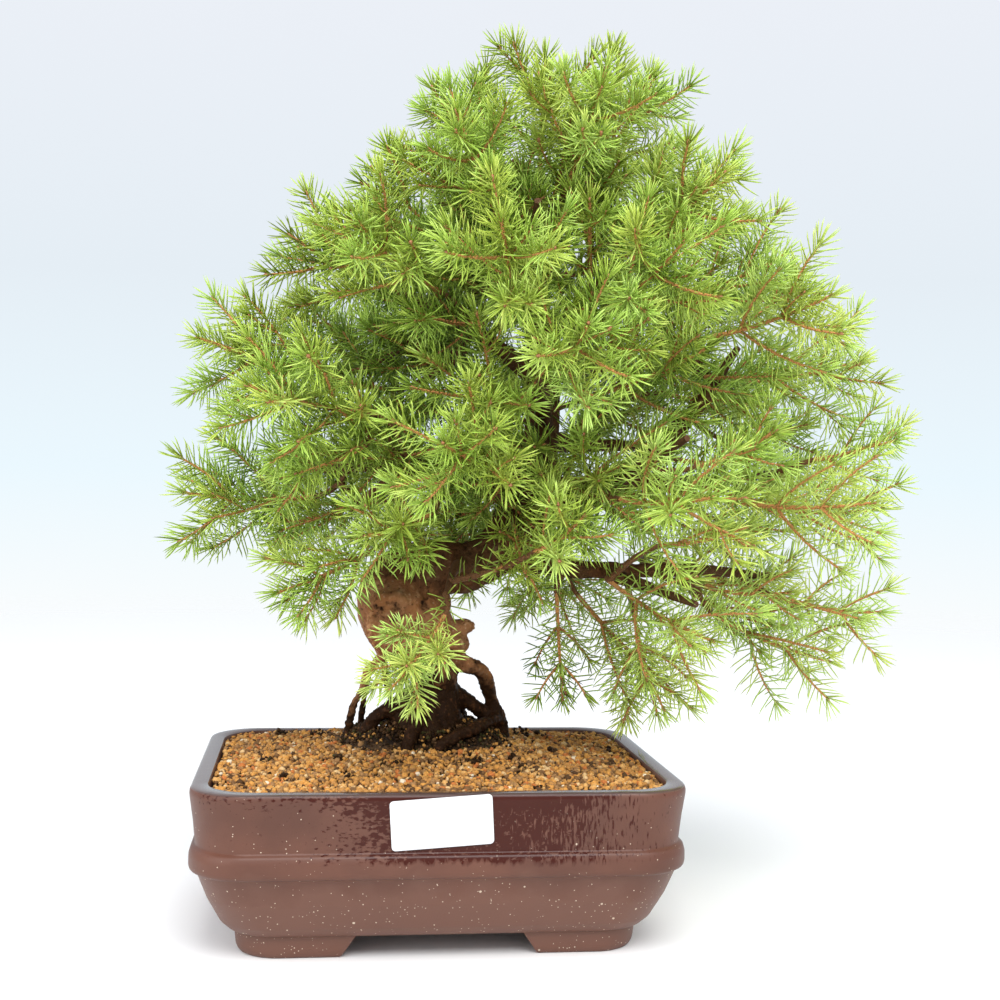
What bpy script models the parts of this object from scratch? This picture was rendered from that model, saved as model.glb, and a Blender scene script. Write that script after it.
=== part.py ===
"""Spruce bonsai in a rectangular clay pot, built piece by piece.

Lengths in this file are millimetres; every mesh is turned to metres when it is finished.
The pot's centre on the floor is (0, 0, 0) while modelling, its front faces -Y.
"""
import math
import random

import bmesh
import bpy
import numpy as np
from mathutils import Matrix, Vector

MM = 0.001
GAP = 0.3
# Wider than the gap elsewhere, because a twisted side may bulge by some tenths.
ROOT_GAP = 0.6

# Pot: a raised belt below the rim, a tapering wall, four corner feet and two drain holes.
POT_WIDTH = 250.0
POT_DEPTH = 200.0
POT_HEIGHT = 86.0
RIM_WIDTH = 8.6
BAND_RECESS = 3.0
BELT_TOP = 57.0
BELT_BOTTOM = 45.0
FOOT_HEIGHT = 11.0
FOOT_INSET = 23.0
FOOT_WALL = 14.0
FLOOR_THICKNESS = 9.0
FOOT_GAP_FRONT = (99.0, 84.0)
FOOT_GAP_SIDE = (78.0, 64.0)
BASE_CORNER = 22.4
FOOT_CORNER = 21.0
DRAIN_DIAMETER = 16.0
DRAIN_SPACING = 110.0
# How far a cutter goes past the feet, downwards and upwards.
CUT_BELOW = 6.0
CUT_ABOVE = 3.0

# Soil: a low mound that is highest at the tree.
SOIL_EDGE = 82.6
SOIL_MOUND = 9.5
MOUND_CENTRE = (-2.0, 30.0)
MOUND_REACH = 75.0
# The old root ball stands out of the mound as a dome.
BALL_CENTRE = (-2.0, 32.0, 84.0)
BALL_RADII = (50.0, 40.0, 21.0)
SOIL_UNEVENNESS = 0.6
SOIL_CORNER = 21.3
# Distances from the soil's edge to the rings of points that its surface is made of.
SOIL_RINGS = (2, 20, 40, 62, 84)

# Label: a blank card stuck to the front band.
LABEL_WIDTH = 50.0
LABEL_HEIGHT = 25.0
LABEL_THICKNESS = 0.5
LABEL_CORNER = 2.0
LABEL_CENTRE_X = -2.0
LABEL_TILT = 4.0
LABEL_RISE = 1.9
# Where the flat of the front band ends: how far below the rim, and how far in from the front.
BAND_TOP_DROP = 2.4
BAND_TOP_INSET = 0.1

# Trunk, roots and limbs: points (x, y, z, radius) that a smooth curve goes through.
# The trunk and the roots start in the soil, the limbs in the trunk.
TRUNK = (
    (2, 26, 62, 20), (1, 26, 80, 27), (0, 26, 98, 24), (3, 24, 112, 16), (4, 22, 123, 12.5),
    (2, 20, 134, 14), (-4, 20, 145, 20.5), (-11, 20, 156, 24.5), (-17, 20, 167, 25),
    (-18, 20, 177, 22), (-8, 21, 186, 18), (8, 23, 189, 15.5), (22, 26, 190, 14.5),
    (38, 28, 200, 13), (50, 28, 222, 12), (59, 28, 246, 11), (63, 27, 275, 10),
    (62, 25, 312, 9), (54, 21, 352, 7.5), (47, 20, 390, 5.2), (43, 20, 422, 2.2),
)
ROOTS = (
    ((-47, 31, 84, 2.6), (-44, 30, 102, 2.5), (-42, 28, 111, 2.4), (-37, 25, 121, 2.5),
     (-34, 22, 132, 2.7), (-22, 19, 141.5, 3.2), (-8, 19, 146, 6)),
    ((-40, 38, 84, 2), (-37, 36, 107, 2), (-35, 31, 119, 2), (-34, 22.5, 131, 2)),
    ((-17, 52, 84, 2), (-19, 50, 106, 2), (-22, 48, 116, 2), (-24, 42, 126, 2.2),
     (-24, 32, 139, 2.6), (-14, 24, 150, 6)),
    ((44, 34, 84, 5.2), (42, 32, 100, 4.8), (37, 28, 112, 3.9), (34, 25, 121, 4.4),
     (29.5, 20, 130.5, 4.8), (18, 16, 136, 5.4), (0, 18, 142, 8)),
    ((26, 62, 84, 3.6), (21, 56, 104, 3.6), (12, 46, 120, 4), (0, 30, 138, 6)),
    ((-4, -10, 84, 3), (7, -3, 94, 3.4), (22, 5, 99.5, 3.6), (34, 17, 103, 3.6), (41, 30, 102, 3.4)),
    ((40, 31, 96, 3.6), (29, 28, 107.5, 4), (16, 24.5, 117, 5.4), (3, 22, 125, 8)),
    ((-42, 20, 88, 3.6), (-30, 20, 104.5, 4), (-19, 20, 111, 5), (-8, 21, 117, 7), (1, 22, 121, 9)),
    ((-16, -8, 84, 3.4), (-10, 3, 101, 4.2), (-4, 13, 109, 6), (1, 20, 117, 9)),
)
LOBES = (
    ((17.5, 14, 156.5), (7.2, 7, 4.4)), ((12, 12, 147.5), (10, 9, 7)), ((-22, 3, 170), (14, 9, 10)),
)
LIMBS = (
    ((50, 28, 226, 6.5), (24, 16, 246, 5), (-26, 6, 246, 3.4), (-68, 4, 243, 1.9)),
    ((-4, 10, 247, 4), (-26, -22, 238, 2.7), (-44, -54, 226, 1.7)),
    ((38, 28, 200, 10), (66, 18, 221, 9), (103, 2, 242, 7.5), (140, -8, 276, 4.7), (168, -6, 316, 1.9)),
    ((103, 2, 242, 6), (150, 8, 240, 3.7), (196, 12, 246, 1.9)),
    ((84, 10, 232, 6), (108, -36, 248, 3.4), (122, -76, 262, 1.8)),
    ((36, 28, 196, 8), (62, 20, 192, 6.4), (96, 14, 189, 5.4), (150, 12, 190, 3.6), (200, 14, 186, 1.9)),
    ((96, 14, 189, 5), (116, -28, 182, 3.1), (132, -62, 176, 1.8)),
    ((18, 22, 192, 6), (10, -8, 189, 2.5), (4, -30, 178, 1.4)),
    ((63, 27, 268, 7), (57, -14, 284, 3.9), (48, -58, 290, 1.9)),
    ((55, 28, 236, 7), (62, 64, 246, 4.1), (66, 106, 250, 1.9)),
    ((52, 28, 228, 6), (8, 66, 240, 3.7), (-34, 92, 246, 1.9)),
    ((62, 27, 262, 7), (106, 66, 262, 4.1), (152, 92, 262, 1.9)),
    ((63, 26, 296, 7), (22, 14, 322, 3.9), (-20, 10, 344, 1.9)),
    ((61, 24, 322, 6.4), (98, 30, 350, 3.9), (132, 30, 384, 1.9)),
    ((56, 22, 342, 6), (50, -18, 364, 3.7), (46, -54, 384, 1.9)),
    ((55, 22, 346, 6), (70, 62, 364, 3.7), (76, 98, 372, 1.9)),
    ((50, 20, 374, 4.4), (24, 12, 384, 2.7), (0, 10, 394, 1.7)),
    ((48, 20, 380, 4.4), (70, 18, 392, 2.9), (83, 17, 399, 1.7)),
)

# Canopy: its front outline as distances from a centre, every 22.5 degrees from +X upwards.
CANOPY_CENTRE = (60.0, 20.0, 315.0)
CANOPY_RADII = (198, 164, 151, 178, 174, 164, 147, 163, 196, 224, 203, 154, 160, 212, 256, 231)
CANOPY_HALF_DEPTH = 158.0
# Rings of sprays: depth angle, first angle, step from one to the next, and how many.
SPRAY_RINGS = (
    (0, -67.5, 22.5, 13), (-35, 10, 36, 6), (-35, 298, 36, 2), (35, 30, 36, 10),
    (-64, 40, 90, 4), (64, 12, 90, 4), (-90, 0, 0, 1), (90, 0, 0, 1),
)
# Sprays that hang apart from the rest: start and tip of the leader, and its side shoots' length.
LOW_SPRAYS = (
    ((2, -46, 168), (-27, -86, 136), 28),
    ((70, 10, 176), (74, 6, 116), 28),
    ((112, -2, 166), (124, -12, 112), 32),
    ((-26, -20, 206), (-84, -26, 178), 34),
    ((-4, -16, 220), (-40, -70, 210), 34),
    ((44, 1, 214), (43, -58, 190), 28),
    ((196, 6, 176), (258, 6, 167), 36),
)
# Sprays inside the canopy: angle, depth angle, and their share of the way out to its surface.
INNER_SPRAYS = (
    (324, 28, 0.6), (204, 14, 0.6), (300, -56, 0.6), (204, -70, 0.7), (228, 70, 0.7),
    (0, -42, 0.6), (48, 42, 0.7), (348, 56, 0.8),
)
# The sprays point away from a line up the tree: its place, its lowest point, and the share of
# a spray's own height above or below that point that its line starts at.
SOURCE = (56.0, 20.0, 222.0)
SOURCE_SHARE_ABOVE = 0.55
SOURCE_SHARE_BELOW = 0.2
SPRAY_LENGTH = 70.0
TIP_INSET = 9.6
LEADER_SAG = 5.0
LEADER_RADIUS = (1.4, 0.9)
LEADER_BANDS = (0.28, 0.62, 0.95)
LEADER_TURN = 60.0
SPRAY_ROLL = 50.0
# Side shoots: the band of the leader that each grows out of, and how far round it that is.
SIDE_SHOOTS = ((0, 0), (0, 120), (0, 240), (1, 60), (1, 180), (1, 300))
SIDE_LENGTH = 48.0
INNER_SIDE_LENGTH = 57.0
SIDE_SPREAD = 56.0
SIDE_RADIUS = (0.95, 0.75)
SIDE_BANDS = (0.7,)
SIDE_START = 0.1
NEEDLE_LENGTH = 16.0
NEEDLE_WIDTH = 1.3
NEEDLE_LEAN = (58.0, 46.0)
END_NEEDLE_LENGTH = 8.8

# Twigs: each leaves a limb that lies at least this far off, along the least bent way.
TWIG_RADIUS = (2.0, 1.3)
TWIG_CLEARANCE = 10.0
TWIG_DETOUR = 1.7
TWIG_KNEE = 0.4
TWIG_LOWEST = 205.0

# What keeps the needles and shoots apart: half the room that a needle takes, the gap that is
# left beside it, the share of a leader or side shoot that lies inside the one it grows from,
# and how many rods are kept track of at most.
NEEDLE_REACH = 0.7
CLEARANCE = 0.5
LEADER_FOOT = 0.06
SIDE_FOOT = 0.15
ROD_ROOM = 6000
UP = Vector((0, 0, 1))


def clear_scene():
    for old in list(bpy.data.objects):
        bpy.data.objects.remove(old)


def material(name, colour, roughness):
    made = bpy.data.materials.new(name)
    made.use_nodes = True
    shader = made.node_tree.nodes["Principled BSDF"]
    shader.inputs["Base Color"].default_value = (*colour, 1)
    shader.inputs["Roughness"].default_value = roughness
    shader.inputs["Metallic"].default_value = 0.0
    return made


def new_object(name, bm):
    mesh = bpy.data.meshes.new(name)
    bmesh.ops.recalc_face_normals(bm, faces=bm.faces)
    if bm.calc_volume(signed=True) < 0:
        bmesh.ops.reverse_faces(bm, faces=bm.faces)
    bm.to_mesh(mesh)
    bm.free()
    made = bpy.data.objects.new(name, mesh)
    bpy.context.scene.collection.objects.link(made)
    return made


def combine(base, tools, operation, solver):
    """Join tools to the base, or cut them out of it, and remove them."""
    group = bpy.data.collections.new("tools")
    bpy.context.scene.collection.children.link(group)
    for tool in tools:
        bpy.context.scene.collection.objects.unlink(tool)
        group.objects.link(tool)
    step = base.modifiers.new("Boolean", "BOOLEAN")
    step.operation = operation
    step.operand_type = "COLLECTION"
    step.collection = group
    step.solver = solver
    evaluated = base.evaluated_get(bpy.context.evaluated_depsgraph_get())
    result = bpy.data.meshes.new_from_object(evaluated)
    base.modifiers.clear()
    base.data = result
    for tool in tools:
        bpy.data.objects.remove(tool)
    bpy.data.collections.remove(group)


def finish(made, finish_material, smooth_angle=None):
    """Turn millimetres into metres, name the mesh and give it its material and shading."""
    made.data.transform(Matrix.Scale(MM, 4))
    made.data.name = made.name
    made.data.materials.clear()
    made.data.materials.append(finish_material)
    if smooth_angle:
        made.data.shade_smooth()
        made.data.set_sharp_from_angle(angle=math.radians(smooth_angle))


def extrude(bm, face, step):
    """Extrude a face and move its new end by a matrix; an isolated first face stays as the cap."""
    inside = any(len(edge.link_faces) > 1 for edge in face.edges)
    made = bmesh.ops.extrude_face_region(bm, geom=[face])["geom"]
    if inside:
        bmesh.ops.delete(bm, geom=[face], context="FACES_ONLY")
    end = next(item for item in made if isinstance(item, bmesh.types.BMFace))
    bmesh.ops.transform(bm, matrix=step, verts=end.verts)
    return end


def extrude_through(bm, face, steps):
    for step in steps:
        face = extrude(bm, face, step)
    return face


def rounded_face(bm, width, depth, corner, height, segments):
    """A flat rounded rectangle, facing down, as the first face of a loft."""
    bmesh.ops.create_grid(bm, x_segments=1, y_segments=1, size=0.5)
    shape = Matrix.Translation((0, 0, height)) @ Matrix.Diagonal((width, depth, 1, 1))
    bmesh.ops.transform(bm, matrix=shape, verts=bm.verts)
    bmesh.ops.bevel(bm, geom=bm.verts[:], affect="VERTICES", offset=corner, segments=segments,
                    profile=0.5, material=-1)
    return next(iter(bm.faces))


def loft_block(name, profile, corner, segments=4):
    """A block whose outline shrinks by the profile's inset at each of its heights."""
    inset, height = profile[0]
    bm = bmesh.new()
    face = rounded_face(bm, POT_WIDTH - 2 * inset, POT_DEPTH - 2 * inset, corner, height, segments)
    steps = []
    for (inset, height), (next_inset, next_height) in zip(profile, profile[1:]):
        grow_x = (POT_WIDTH - 2 * next_inset) / (POT_WIDTH - 2 * inset)
        grow_y = (POT_DEPTH - 2 * next_inset) / (POT_DEPTH - 2 * inset)
        steps.append(Matrix.Translation((0, 0, next_height))
                     @ Matrix.Diagonal((grow_x, grow_y, 1, 1))
                     @ Matrix.Translation((0, 0, -height)))
    extrude_through(bm, face, steps)
    return new_object(name, bm)


def box(name, width, depth, low, high, top_width=None):
    """A block on the Z axis; top_width makes its X sides slope."""
    bm = bmesh.new()
    bmesh.ops.create_cube(bm, size=1)
    shape = (Matrix.Translation((0, 0, (low + high) / 2))
             @ Matrix.Diagonal((width, depth, high - low, 1)))
    bmesh.ops.transform(bm, matrix=shape, verts=bm.verts)
    if top_width:
        top = [vert for vert in bm.verts if vert.co.z > (low + high) / 2]
        bmesh.ops.scale(bm, vec=(top_width / width, 1, 1), verts=top)
    return new_object(name, bm)


def ellipsoid(name, centre, radii, segments):
    bm = bmesh.new()
    place = Matrix.Translation(centre) @ Matrix.Diagonal((*radii, 1))
    bmesh.ops.create_uvsphere(bm, u_segments=segments, v_segments=segments // 2, radius=1, matrix=place)
    return new_object(name, bm)


def inner_wall():
    """Inset and height down the pot's inner side, from the rim to the floor."""
    floor = FOOT_HEIGHT + FLOOR_THICKNESS
    return ((RIM_WIDTH, POT_HEIGHT - 0.6), (RIM_WIDTH + 0.8, POT_HEIGHT - 3), (RIM_WIDTH + 2.4, 48),
            (FOOT_INSET + 1, floor + 5), (FOOT_INSET + 6, floor))


def outer_wall():
    """Inset and height up the pot's outer side, from the body's underside to the rim."""
    return ((FOOT_INSET, FOOT_HEIGHT), (FOOT_INSET - 4, FOOT_HEIGHT + 1.6),
            (FOOT_INSET - 8, FOOT_HEIGHT + 6), (8.5, 30), (3.4, BELT_BOTTOM - 1),
            (0.6, BELT_BOTTOM), (0, BELT_BOTTOM + 2), (0, BELT_TOP - 4.5), (0.9, BELT_TOP - 1.2),
            (BAND_RECESS, BELT_TOP), (BAND_TOP_INSET, POT_HEIGHT - BAND_TOP_DROP), (0.8, POT_HEIGHT - 0.4),
            (2.0, POT_HEIGHT), (RIM_WIDTH - 1, POT_HEIGHT))


def foot_gap(name, widths, length):
    """The space between two feet, given by its widths on the floor and under the body."""
    wide, narrow = widths
    slope = (wide - narrow) / FOOT_HEIGHT
    return box(name, wide + slope * CUT_BELOW, length, -CUT_BELOW, FOOT_HEIGHT + CUT_ABOVE,
               narrow - slope * CUT_ABOVE)


def make_pot(clay):
    pot = loft_block("pot", outer_wall() + inner_wall(), BASE_CORNER)
    feet = loft_block("feet", ((FOOT_INSET + 1.5, 0), (FOOT_INSET, 3), (FOOT_INSET - 1, FOOT_HEIGHT + 1)),
                      FOOT_CORNER)
    front_gap = foot_gap("front gap", FOOT_GAP_FRONT, POT_DEPTH)
    side_gap = foot_gap("side gap", FOOT_GAP_SIDE, POT_WIDTH)
    side_gap.data.transform(Matrix.Rotation(math.radians(90), 4, "Z"))
    hollow = FOOT_INSET + FOOT_WALL
    pocket = box("pocket", POT_WIDTH - 2 * hollow, POT_DEPTH - 2 * hollow, -CUT_BELOW,
                 FOOT_HEIGHT + CUT_ABOVE)
    combine(feet, [front_gap, side_gap, pocket], "DIFFERENCE", "EXACT")
    combine(pot, [feet], "UNION", "EXACT")
    drains = []
    for side in (-1, 1):
        bm = bmesh.new()
        bmesh.ops.create_cone(bm, cap_ends=True, segments=16, radius1=DRAIN_DIAMETER / 2,
                              radius2=DRAIN_DIAMETER / 2, depth=POT_HEIGHT,
                              matrix=Matrix.Translation((side * DRAIN_SPACING / 2, 0, 0)))
        drains.append(new_object("drain", bm))
    combine(pot, drains, "DIFFERENCE", "EXACT")
    finish(pot, clay, smooth_angle=35)


def soil_height(x, y):
    """The mound's height above the floor, with a slow unevenness of about a millimetre."""
    off = math.hypot(x - MOUND_CENTRE[0], y - MOUND_CENTRE[1]) / MOUND_REACH
    waves = 0.7 * math.sin(x / 13 + 1) * math.cos(y / 11) + 0.4 * math.sin((x + 2 * y) / 7)
    return SOIL_EDGE + SOIL_MOUND * math.exp(-off * off) + waves * SOIL_UNEVENNESS


def make_soil(grit, root_plugs):
    wall = [(inset + GAP, height) for inset, height in reversed(inner_wall()[1:])]
    wall[0] = (wall[0][0], wall[0][1] + GAP)
    edge = wall[-1][0]
    wall[-1] = (edge, SOIL_EDGE - 1.2)
    tops = [(edge + step, SOIL_EDGE) for step in SOIL_RINGS]
    soil = loft_block("soil", wall + tops, SOIL_CORNER)
    for vert in soil.data.vertices:
        if vert.co.z > SOIL_EDGE - 0.6:
            vert.co.z = soil_height(vert.co.x, vert.co.y)
    combine(soil, [ellipsoid("root ball", BALL_CENTRE, BALL_RADII, 16)], "UNION", "EXACT")
    combine(soil, root_plugs, "DIFFERENCE", "EXACT")
    finish(soil, grit, smooth_angle=40)


def make_label(card):
    bm = bmesh.new()
    bmesh.ops.create_grid(bm, x_segments=1, y_segments=1, size=0.5)
    bmesh.ops.transform(bm, matrix=Matrix.Diagonal((LABEL_WIDTH, LABEL_HEIGHT, 1, 1)), verts=bm.verts)
    bmesh.ops.bevel(bm, geom=bm.verts[:], affect="VERTICES", offset=LABEL_CORNER, segments=3,
                    profile=0.5, material=-1)
    extrude_through(bm, next(iter(bm.faces)), [Matrix.Translation((0, 0, LABEL_THICKNESS))])
    band_top, band_low = POT_HEIGHT - BAND_TOP_DROP, BELT_TOP
    lean = math.atan2(BAND_RECESS - BAND_TOP_INSET, band_top - band_low)
    inset = (BAND_RECESS + BAND_TOP_INSET) / 2
    middle = Vector((LABEL_CENTRE_X, -POT_DEPTH / 2 + inset, (band_top + band_low) / 2))
    outward = Vector((0, -math.cos(lean), -math.sin(lean)))
    rise = Vector((0, -math.sin(lean), math.cos(lean)))
    place = (Matrix.Translation(middle + outward * GAP + rise * LABEL_RISE)
             @ Matrix.Rotation(math.radians(90) + lean, 4, "X")
             @ Matrix.Rotation(math.radians(LABEL_TILT), 4, "Z"))
    bmesh.ops.transform(bm, matrix=place, verts=bm.verts)
    finish(new_object("label", bm), card)


def smooth_path(points, steps):
    """Points and radii on a smooth curve through the given ones, steps of them to each span."""
    rows = [np.array(row, float) for row in points]
    rows = [2 * rows[0] - rows[1]] + rows + [2 * rows[-1] - rows[-2]]
    path = []
    for a, b, c, d in zip(rows, rows[1:], rows[2:], rows[3:]):
        for step in range(steps):
            t = step / steps
            path.append(0.5 * (2 * b + (c - a) * t + (2 * a - 5 * b + 4 * c - d) * t * t
                               + (3 * b - a - 3 * c + d) * t ** 3))
    path.append(rows[-2])
    return [(Vector(row[:3]), float(row[3])) for row in path]


def bent_path(start, control, end, radii, steps):
    """Points and radii on a bow from start to end that leans towards the control point."""
    path = []
    for step in range(steps + 1):
        t = step / steps
        point = start * (1 - t) ** 2 + control * 2 * t * (1 - t) + end * t * t
        path.append((point, radii[0] + (radii[1] - radii[0]) * t))
    return path


def frames(path, turns=None, side=None):
    """A matrix for each point of the path: Z along it, turned as asked, scaled to the radius."""
    made = []
    for index, (point, radius) in enumerate(path):
        before = path[max(index - 1, 0)][0]
        after = path[min(index + 1, len(path) - 1)][0]
        along = (after - before).normalized()
        side = side or along.orthogonal()
        side = (side - along * side.dot(along)).normalized()
        turned = Matrix((side, along.cross(side), along)).transposed().to_4x4()
        roll = Matrix.Rotation(math.radians(turns[index]) if turns else 0, 4, "Z")
        made.append(Matrix.Translation(point) @ turned @ roll @ Matrix.Scale(radius, 4))
    return made


def tube(name, path, sides):
    """A closed tube along a path of points and radii."""
    places = frames(path)
    bm = bmesh.new()
    bmesh.ops.create_circle(bm, cap_ends=True, segments=sides, radius=1, matrix=places[0])
    steps = [place @ previous.inverted() for previous, place in zip(places, places[1:])]
    extrude_through(bm, next(iter(bm.faces)), steps)
    return new_object(name, bm)


class Occupied:
    """Straight rods that later ones have to miss; an owner is a spray and one of its shoots."""

    def __init__(self, room):
        self.start = np.zeros((room, 3))
        self.end = np.zeros((room, 3))
        self.radius = np.zeros(room)
        self.owner = np.zeros((room, 2), int)
        self.count = 0

    def add(self, owner, start, end, radius):
        self.start[self.count] = start
        self.end[self.count] = end
        self.radius[self.count] = radius
        self.owner[self.count] = owner
        self.count += 1

    def add_path(self, owner, path):
        for (start, wide), (end, narrow) in zip(path, path[1:]):
            self.add(owner, start, end, max(wide, narrow))

    def room_round(self, owner, start, end, within_spray=False):
        """Smallest distance from a rod's middle line to the surface of any other owner."""
        others = self.owner[:self.count, 0] != owner[0]
        if within_spray:
            others |= self.owner[:self.count, 1] != owner[1]
        a, b = self.start[:self.count][others], self.end[:self.count][others]
        p, q = np.array(start), np.array(end)
        along, rods, between = q - p, b - a, p - a
        aa = max(along @ along, 1e-9)
        ee = np.maximum((rods * rods).sum(1), 1e-9)
        ff = (rods * between).sum(1)
        cc = between @ along
        bb = rods @ along
        spread = aa * ee - bb * bb
        s = np.clip((bb * ff - cc * ee) / np.where(spread < 1e-9, 1, spread), 0, 1)
        t = (bb * s + ff) / ee
        s = np.where(t < 0, np.clip(-cc / aa, 0, 1), np.where(t > 1, np.clip((bb - cc) / aa, 0, 1), s))
        t = np.clip(t, 0, 1)
        gaps = np.linalg.norm(p + s[:, None] * along - a - t[:, None] * rods, axis=1)
        return float((gaps - self.radius[:self.count][others]).min())

    def path_is_clear(self, owner, path):
        return all(self.room_round(owner, start, end) > wide + CLEARANCE
                   for (start, wide), (end, _) in zip(path, path[1:]))


def canopy_radius(angle):
    """The front outline's distance from the canopy's centre, angle in degrees."""
    step = 360 / len(CANOPY_RADII)
    place = (angle % 360) / step
    low = int(place)
    part = place - low
    after = CANOPY_RADII[(low + 1) % len(CANOPY_RADII)]
    return CANOPY_RADII[low % len(CANOPY_RADII)] * (1 - part) + after * part


def canopy_point(angle, depth_angle):
    """A point on the canopy's surface."""
    turn, depth = math.radians(angle), math.radians(depth_angle)
    reach = canopy_radius(angle) * math.cos(depth)
    return Vector(CANOPY_CENTRE) + Vector((reach * math.cos(turn), CANOPY_HALF_DEPTH * math.sin(depth),
                                           reach * math.sin(turn)))


def canopy_spray(angle, depth_angle, share, length):
    """Start and tip of a leader in the canopy, and its side shoots' length."""
    place = Vector(CANOPY_CENTRE).lerp(canopy_point(angle, depth_angle), share)
    above = place.z - SOURCE[2]
    share_of_height = SOURCE_SHARE_ABOVE if above > 0 else SOURCE_SHARE_BELOW
    outward = (place - Vector(SOURCE) - UP * above * share_of_height).normalized()
    tip = place - outward * TIP_INSET
    return tip - outward * SPRAY_LENGTH, tip, length


def plan_sprays():
    """Start and tip of each spray's leader, and its side shoots' length."""
    rings = [canopy_spray(first + index * step, depth_angle, 1, SIDE_LENGTH)
             for depth_angle, first, step, count in SPRAY_RINGS for index in range(count)]
    low = [(Vector(start), Vector(tip), length) for start, tip, length in LOW_SPRAYS]
    return rings + low + [canopy_spray(*place, INNER_SIDE_LENGTH) for place in INNER_SPRAYS]


def leader_path(start, tip, steps=4):
    """A spray's middle twig, which sags and turns up again towards its tip."""
    control = (start + tip) / 2 - UP * LEADER_SAG
    return bent_path(start, control, tip, LEADER_RADIUS, steps)


def at_place(path, place):
    """The point and radius at a share of the way along a path."""
    span = min(int(place * (len(path) - 1)), len(path) - 2)
    part = place * (len(path) - 1) - span
    (low, wide), (high, narrow) = path[span], path[span + 1]
    return low.lerp(high, part), wide + (narrow - wide) * part


def side_of(leader, number):
    """The direction of a spray's first side shoot; each spray is rolled on from the last."""
    along = (leader[-1][0] - leader[0][0]).normalized()
    flat = along.cross(UP)
    if flat.length < 0.3:
        flat = Vector((1, 0, 0)) - along * along.x
    return Matrix.Rotation(math.radians(number * SPRAY_ROLL), 3, along) @ flat.normalized()


def side_paths(leader, number, full_length):
    """The side shoots of a spray, spread round its leader."""
    draw = random.Random(number)
    along = (leader[-1][0] - leader[0][0]).normalized()
    flat = side_of(leader, number)
    spread = math.radians(SIDE_SPREAD)
    made = []
    for band, turn in SIDE_SHOOTS:
        place = LEADER_BANDS[band]
        around = math.radians(turn + draw.uniform(-15, 15))
        outward = Matrix.Rotation(around, 3, along) @ flat
        length = full_length * (1.1 - 0.4 * place) * draw.uniform(0.92, 1.08)
        foot = at_place(leader, place)[0]
        control = foot + (along * math.cos(spread) + outward * math.sin(spread)) * length * 0.5
        end = control + (along * math.cos(spread * 0.6) + outward * math.sin(spread * 0.6)) * length * 0.5
        made.append(bent_path(foot, control, end, SIDE_RADIUS, 3))
    return made


def twig_to(start, direction, limbs):
    """The twig that carries a spray: it leaves the nearest limb that lies behind the spray."""
    best, shortest = None, math.inf
    for limb in limbs:
        for point, radius in limb:
            behind = start - point
            if behind.length < radius + TWIG_CLEARANCE:
                continue
            detour = behind.length * (TWIG_DETOUR - behind.normalized().dot(direction))
            if detour < shortest:
                best, shortest = point, detour
    end = start - direction * GAP
    knee = end - direction * (end - best).length * TWIG_KNEE
    wide, narrow = TWIG_RADIUS
    return [(best, wide), (knee, (wide + narrow) / 2), (end, narrow)]


def banded(path, bands, turn):
    """Path points at both edges of each needle band, and how far each is turned."""
    length = sum((after[0] - before[0]).length for before, after in zip(path, path[1:]))
    half = NEEDLE_WIDTH / 2 / length
    marks, turns = [], []
    for index, band in enumerate(bands, 1):
        marks += [band - half, band + half]
        turns += [index * turn] * 2
    return [at_place(path, mark) for mark in marks], turns


def grow_shoot(bm, end, first, places, along):
    """Extrude a shoot through its places; gives the side faces of its bands, and its end face."""
    bands = []
    previous = first
    for index, place in enumerate(places):
        end = extrude(bm, end, place @ previous.inverted())
        previous = place
        if index % 2:
            sides = [next(face for face in edge.link_faces if face is not end) for edge in end.edges]
            bands.append((sides, (place.to_3x3() @ UP).normalized()))
    tip = bmesh.ops.poke(bm, faces=[end])["verts"][0]
    tip.co += along * END_NEEDLE_LENGTH
    return bands, tip.co.copy()


def grow_spray(number, leader, sides, taken):
    """A spray in one piece: a three-sided leader, side shoots out of its bands, and needles."""
    flat = side_of(leader, number)
    along = (leader[-1][0] - leader[0][0]).normalized()
    fine, turns = banded(leader, LEADER_BANDS, LEADER_TURN)
    turns = [0] + [turn - LEADER_TURN for turn in turns]
    places = frames(leader[:1] + fine, turns, along.cross(flat))
    bm = bmesh.new()
    bmesh.ops.create_circle(bm, cap_ends=True, segments=3, radius=1, matrix=places[0])
    bands, tip = grow_shoot(bm, next(iter(bm.faces)), places[0], places[1:], along)
    taken.add((number, 0), leader[-1][0], tip, NEEDLE_REACH)
    waiting = []
    for index, (faces, way) in enumerate(bands):
        for side, path in sides.items():
            band, turn = SIDE_SHOOTS[side]
            if band == index:
                aim = Matrix.Rotation(math.radians(turn), 3, along) @ flat
                root = max(faces, key=lambda face: outward_of(face, way).dot(aim))
                faces.remove(root)
                waiting += grow_side(bm, root, (number, side + 1), path, taken)
        lean = NEEDLE_LEAN[1] if index == len(bands) - 1 else NEEDLE_LEAN[0]
        waiting += [(face, way, lean, (number, 0)) for face in faces]
    for face, way, lean, owner in waiting:
        raise_needle(bm, face, way, lean, owner, taken)
    # A turned stretch is full where its four-cornered faces are split along the short diagonal.
    bmesh.ops.triangulate(bm, faces=bm.faces[:], quad_method="SHORT_EDGE")
    return new_object(f"spray_{number:02d}", bm)


def corner_frame(corners):
    """A matrix with two edges of a triangle and its normal as axes, from its first corner."""
    ahead, across = corners[1] - corners[0], corners[2] - corners[0]
    square = ahead.cross(across).normalized()
    return Matrix.Translation(corners[0]) @ Matrix((ahead, across, square)).transposed().to_4x4()


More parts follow.
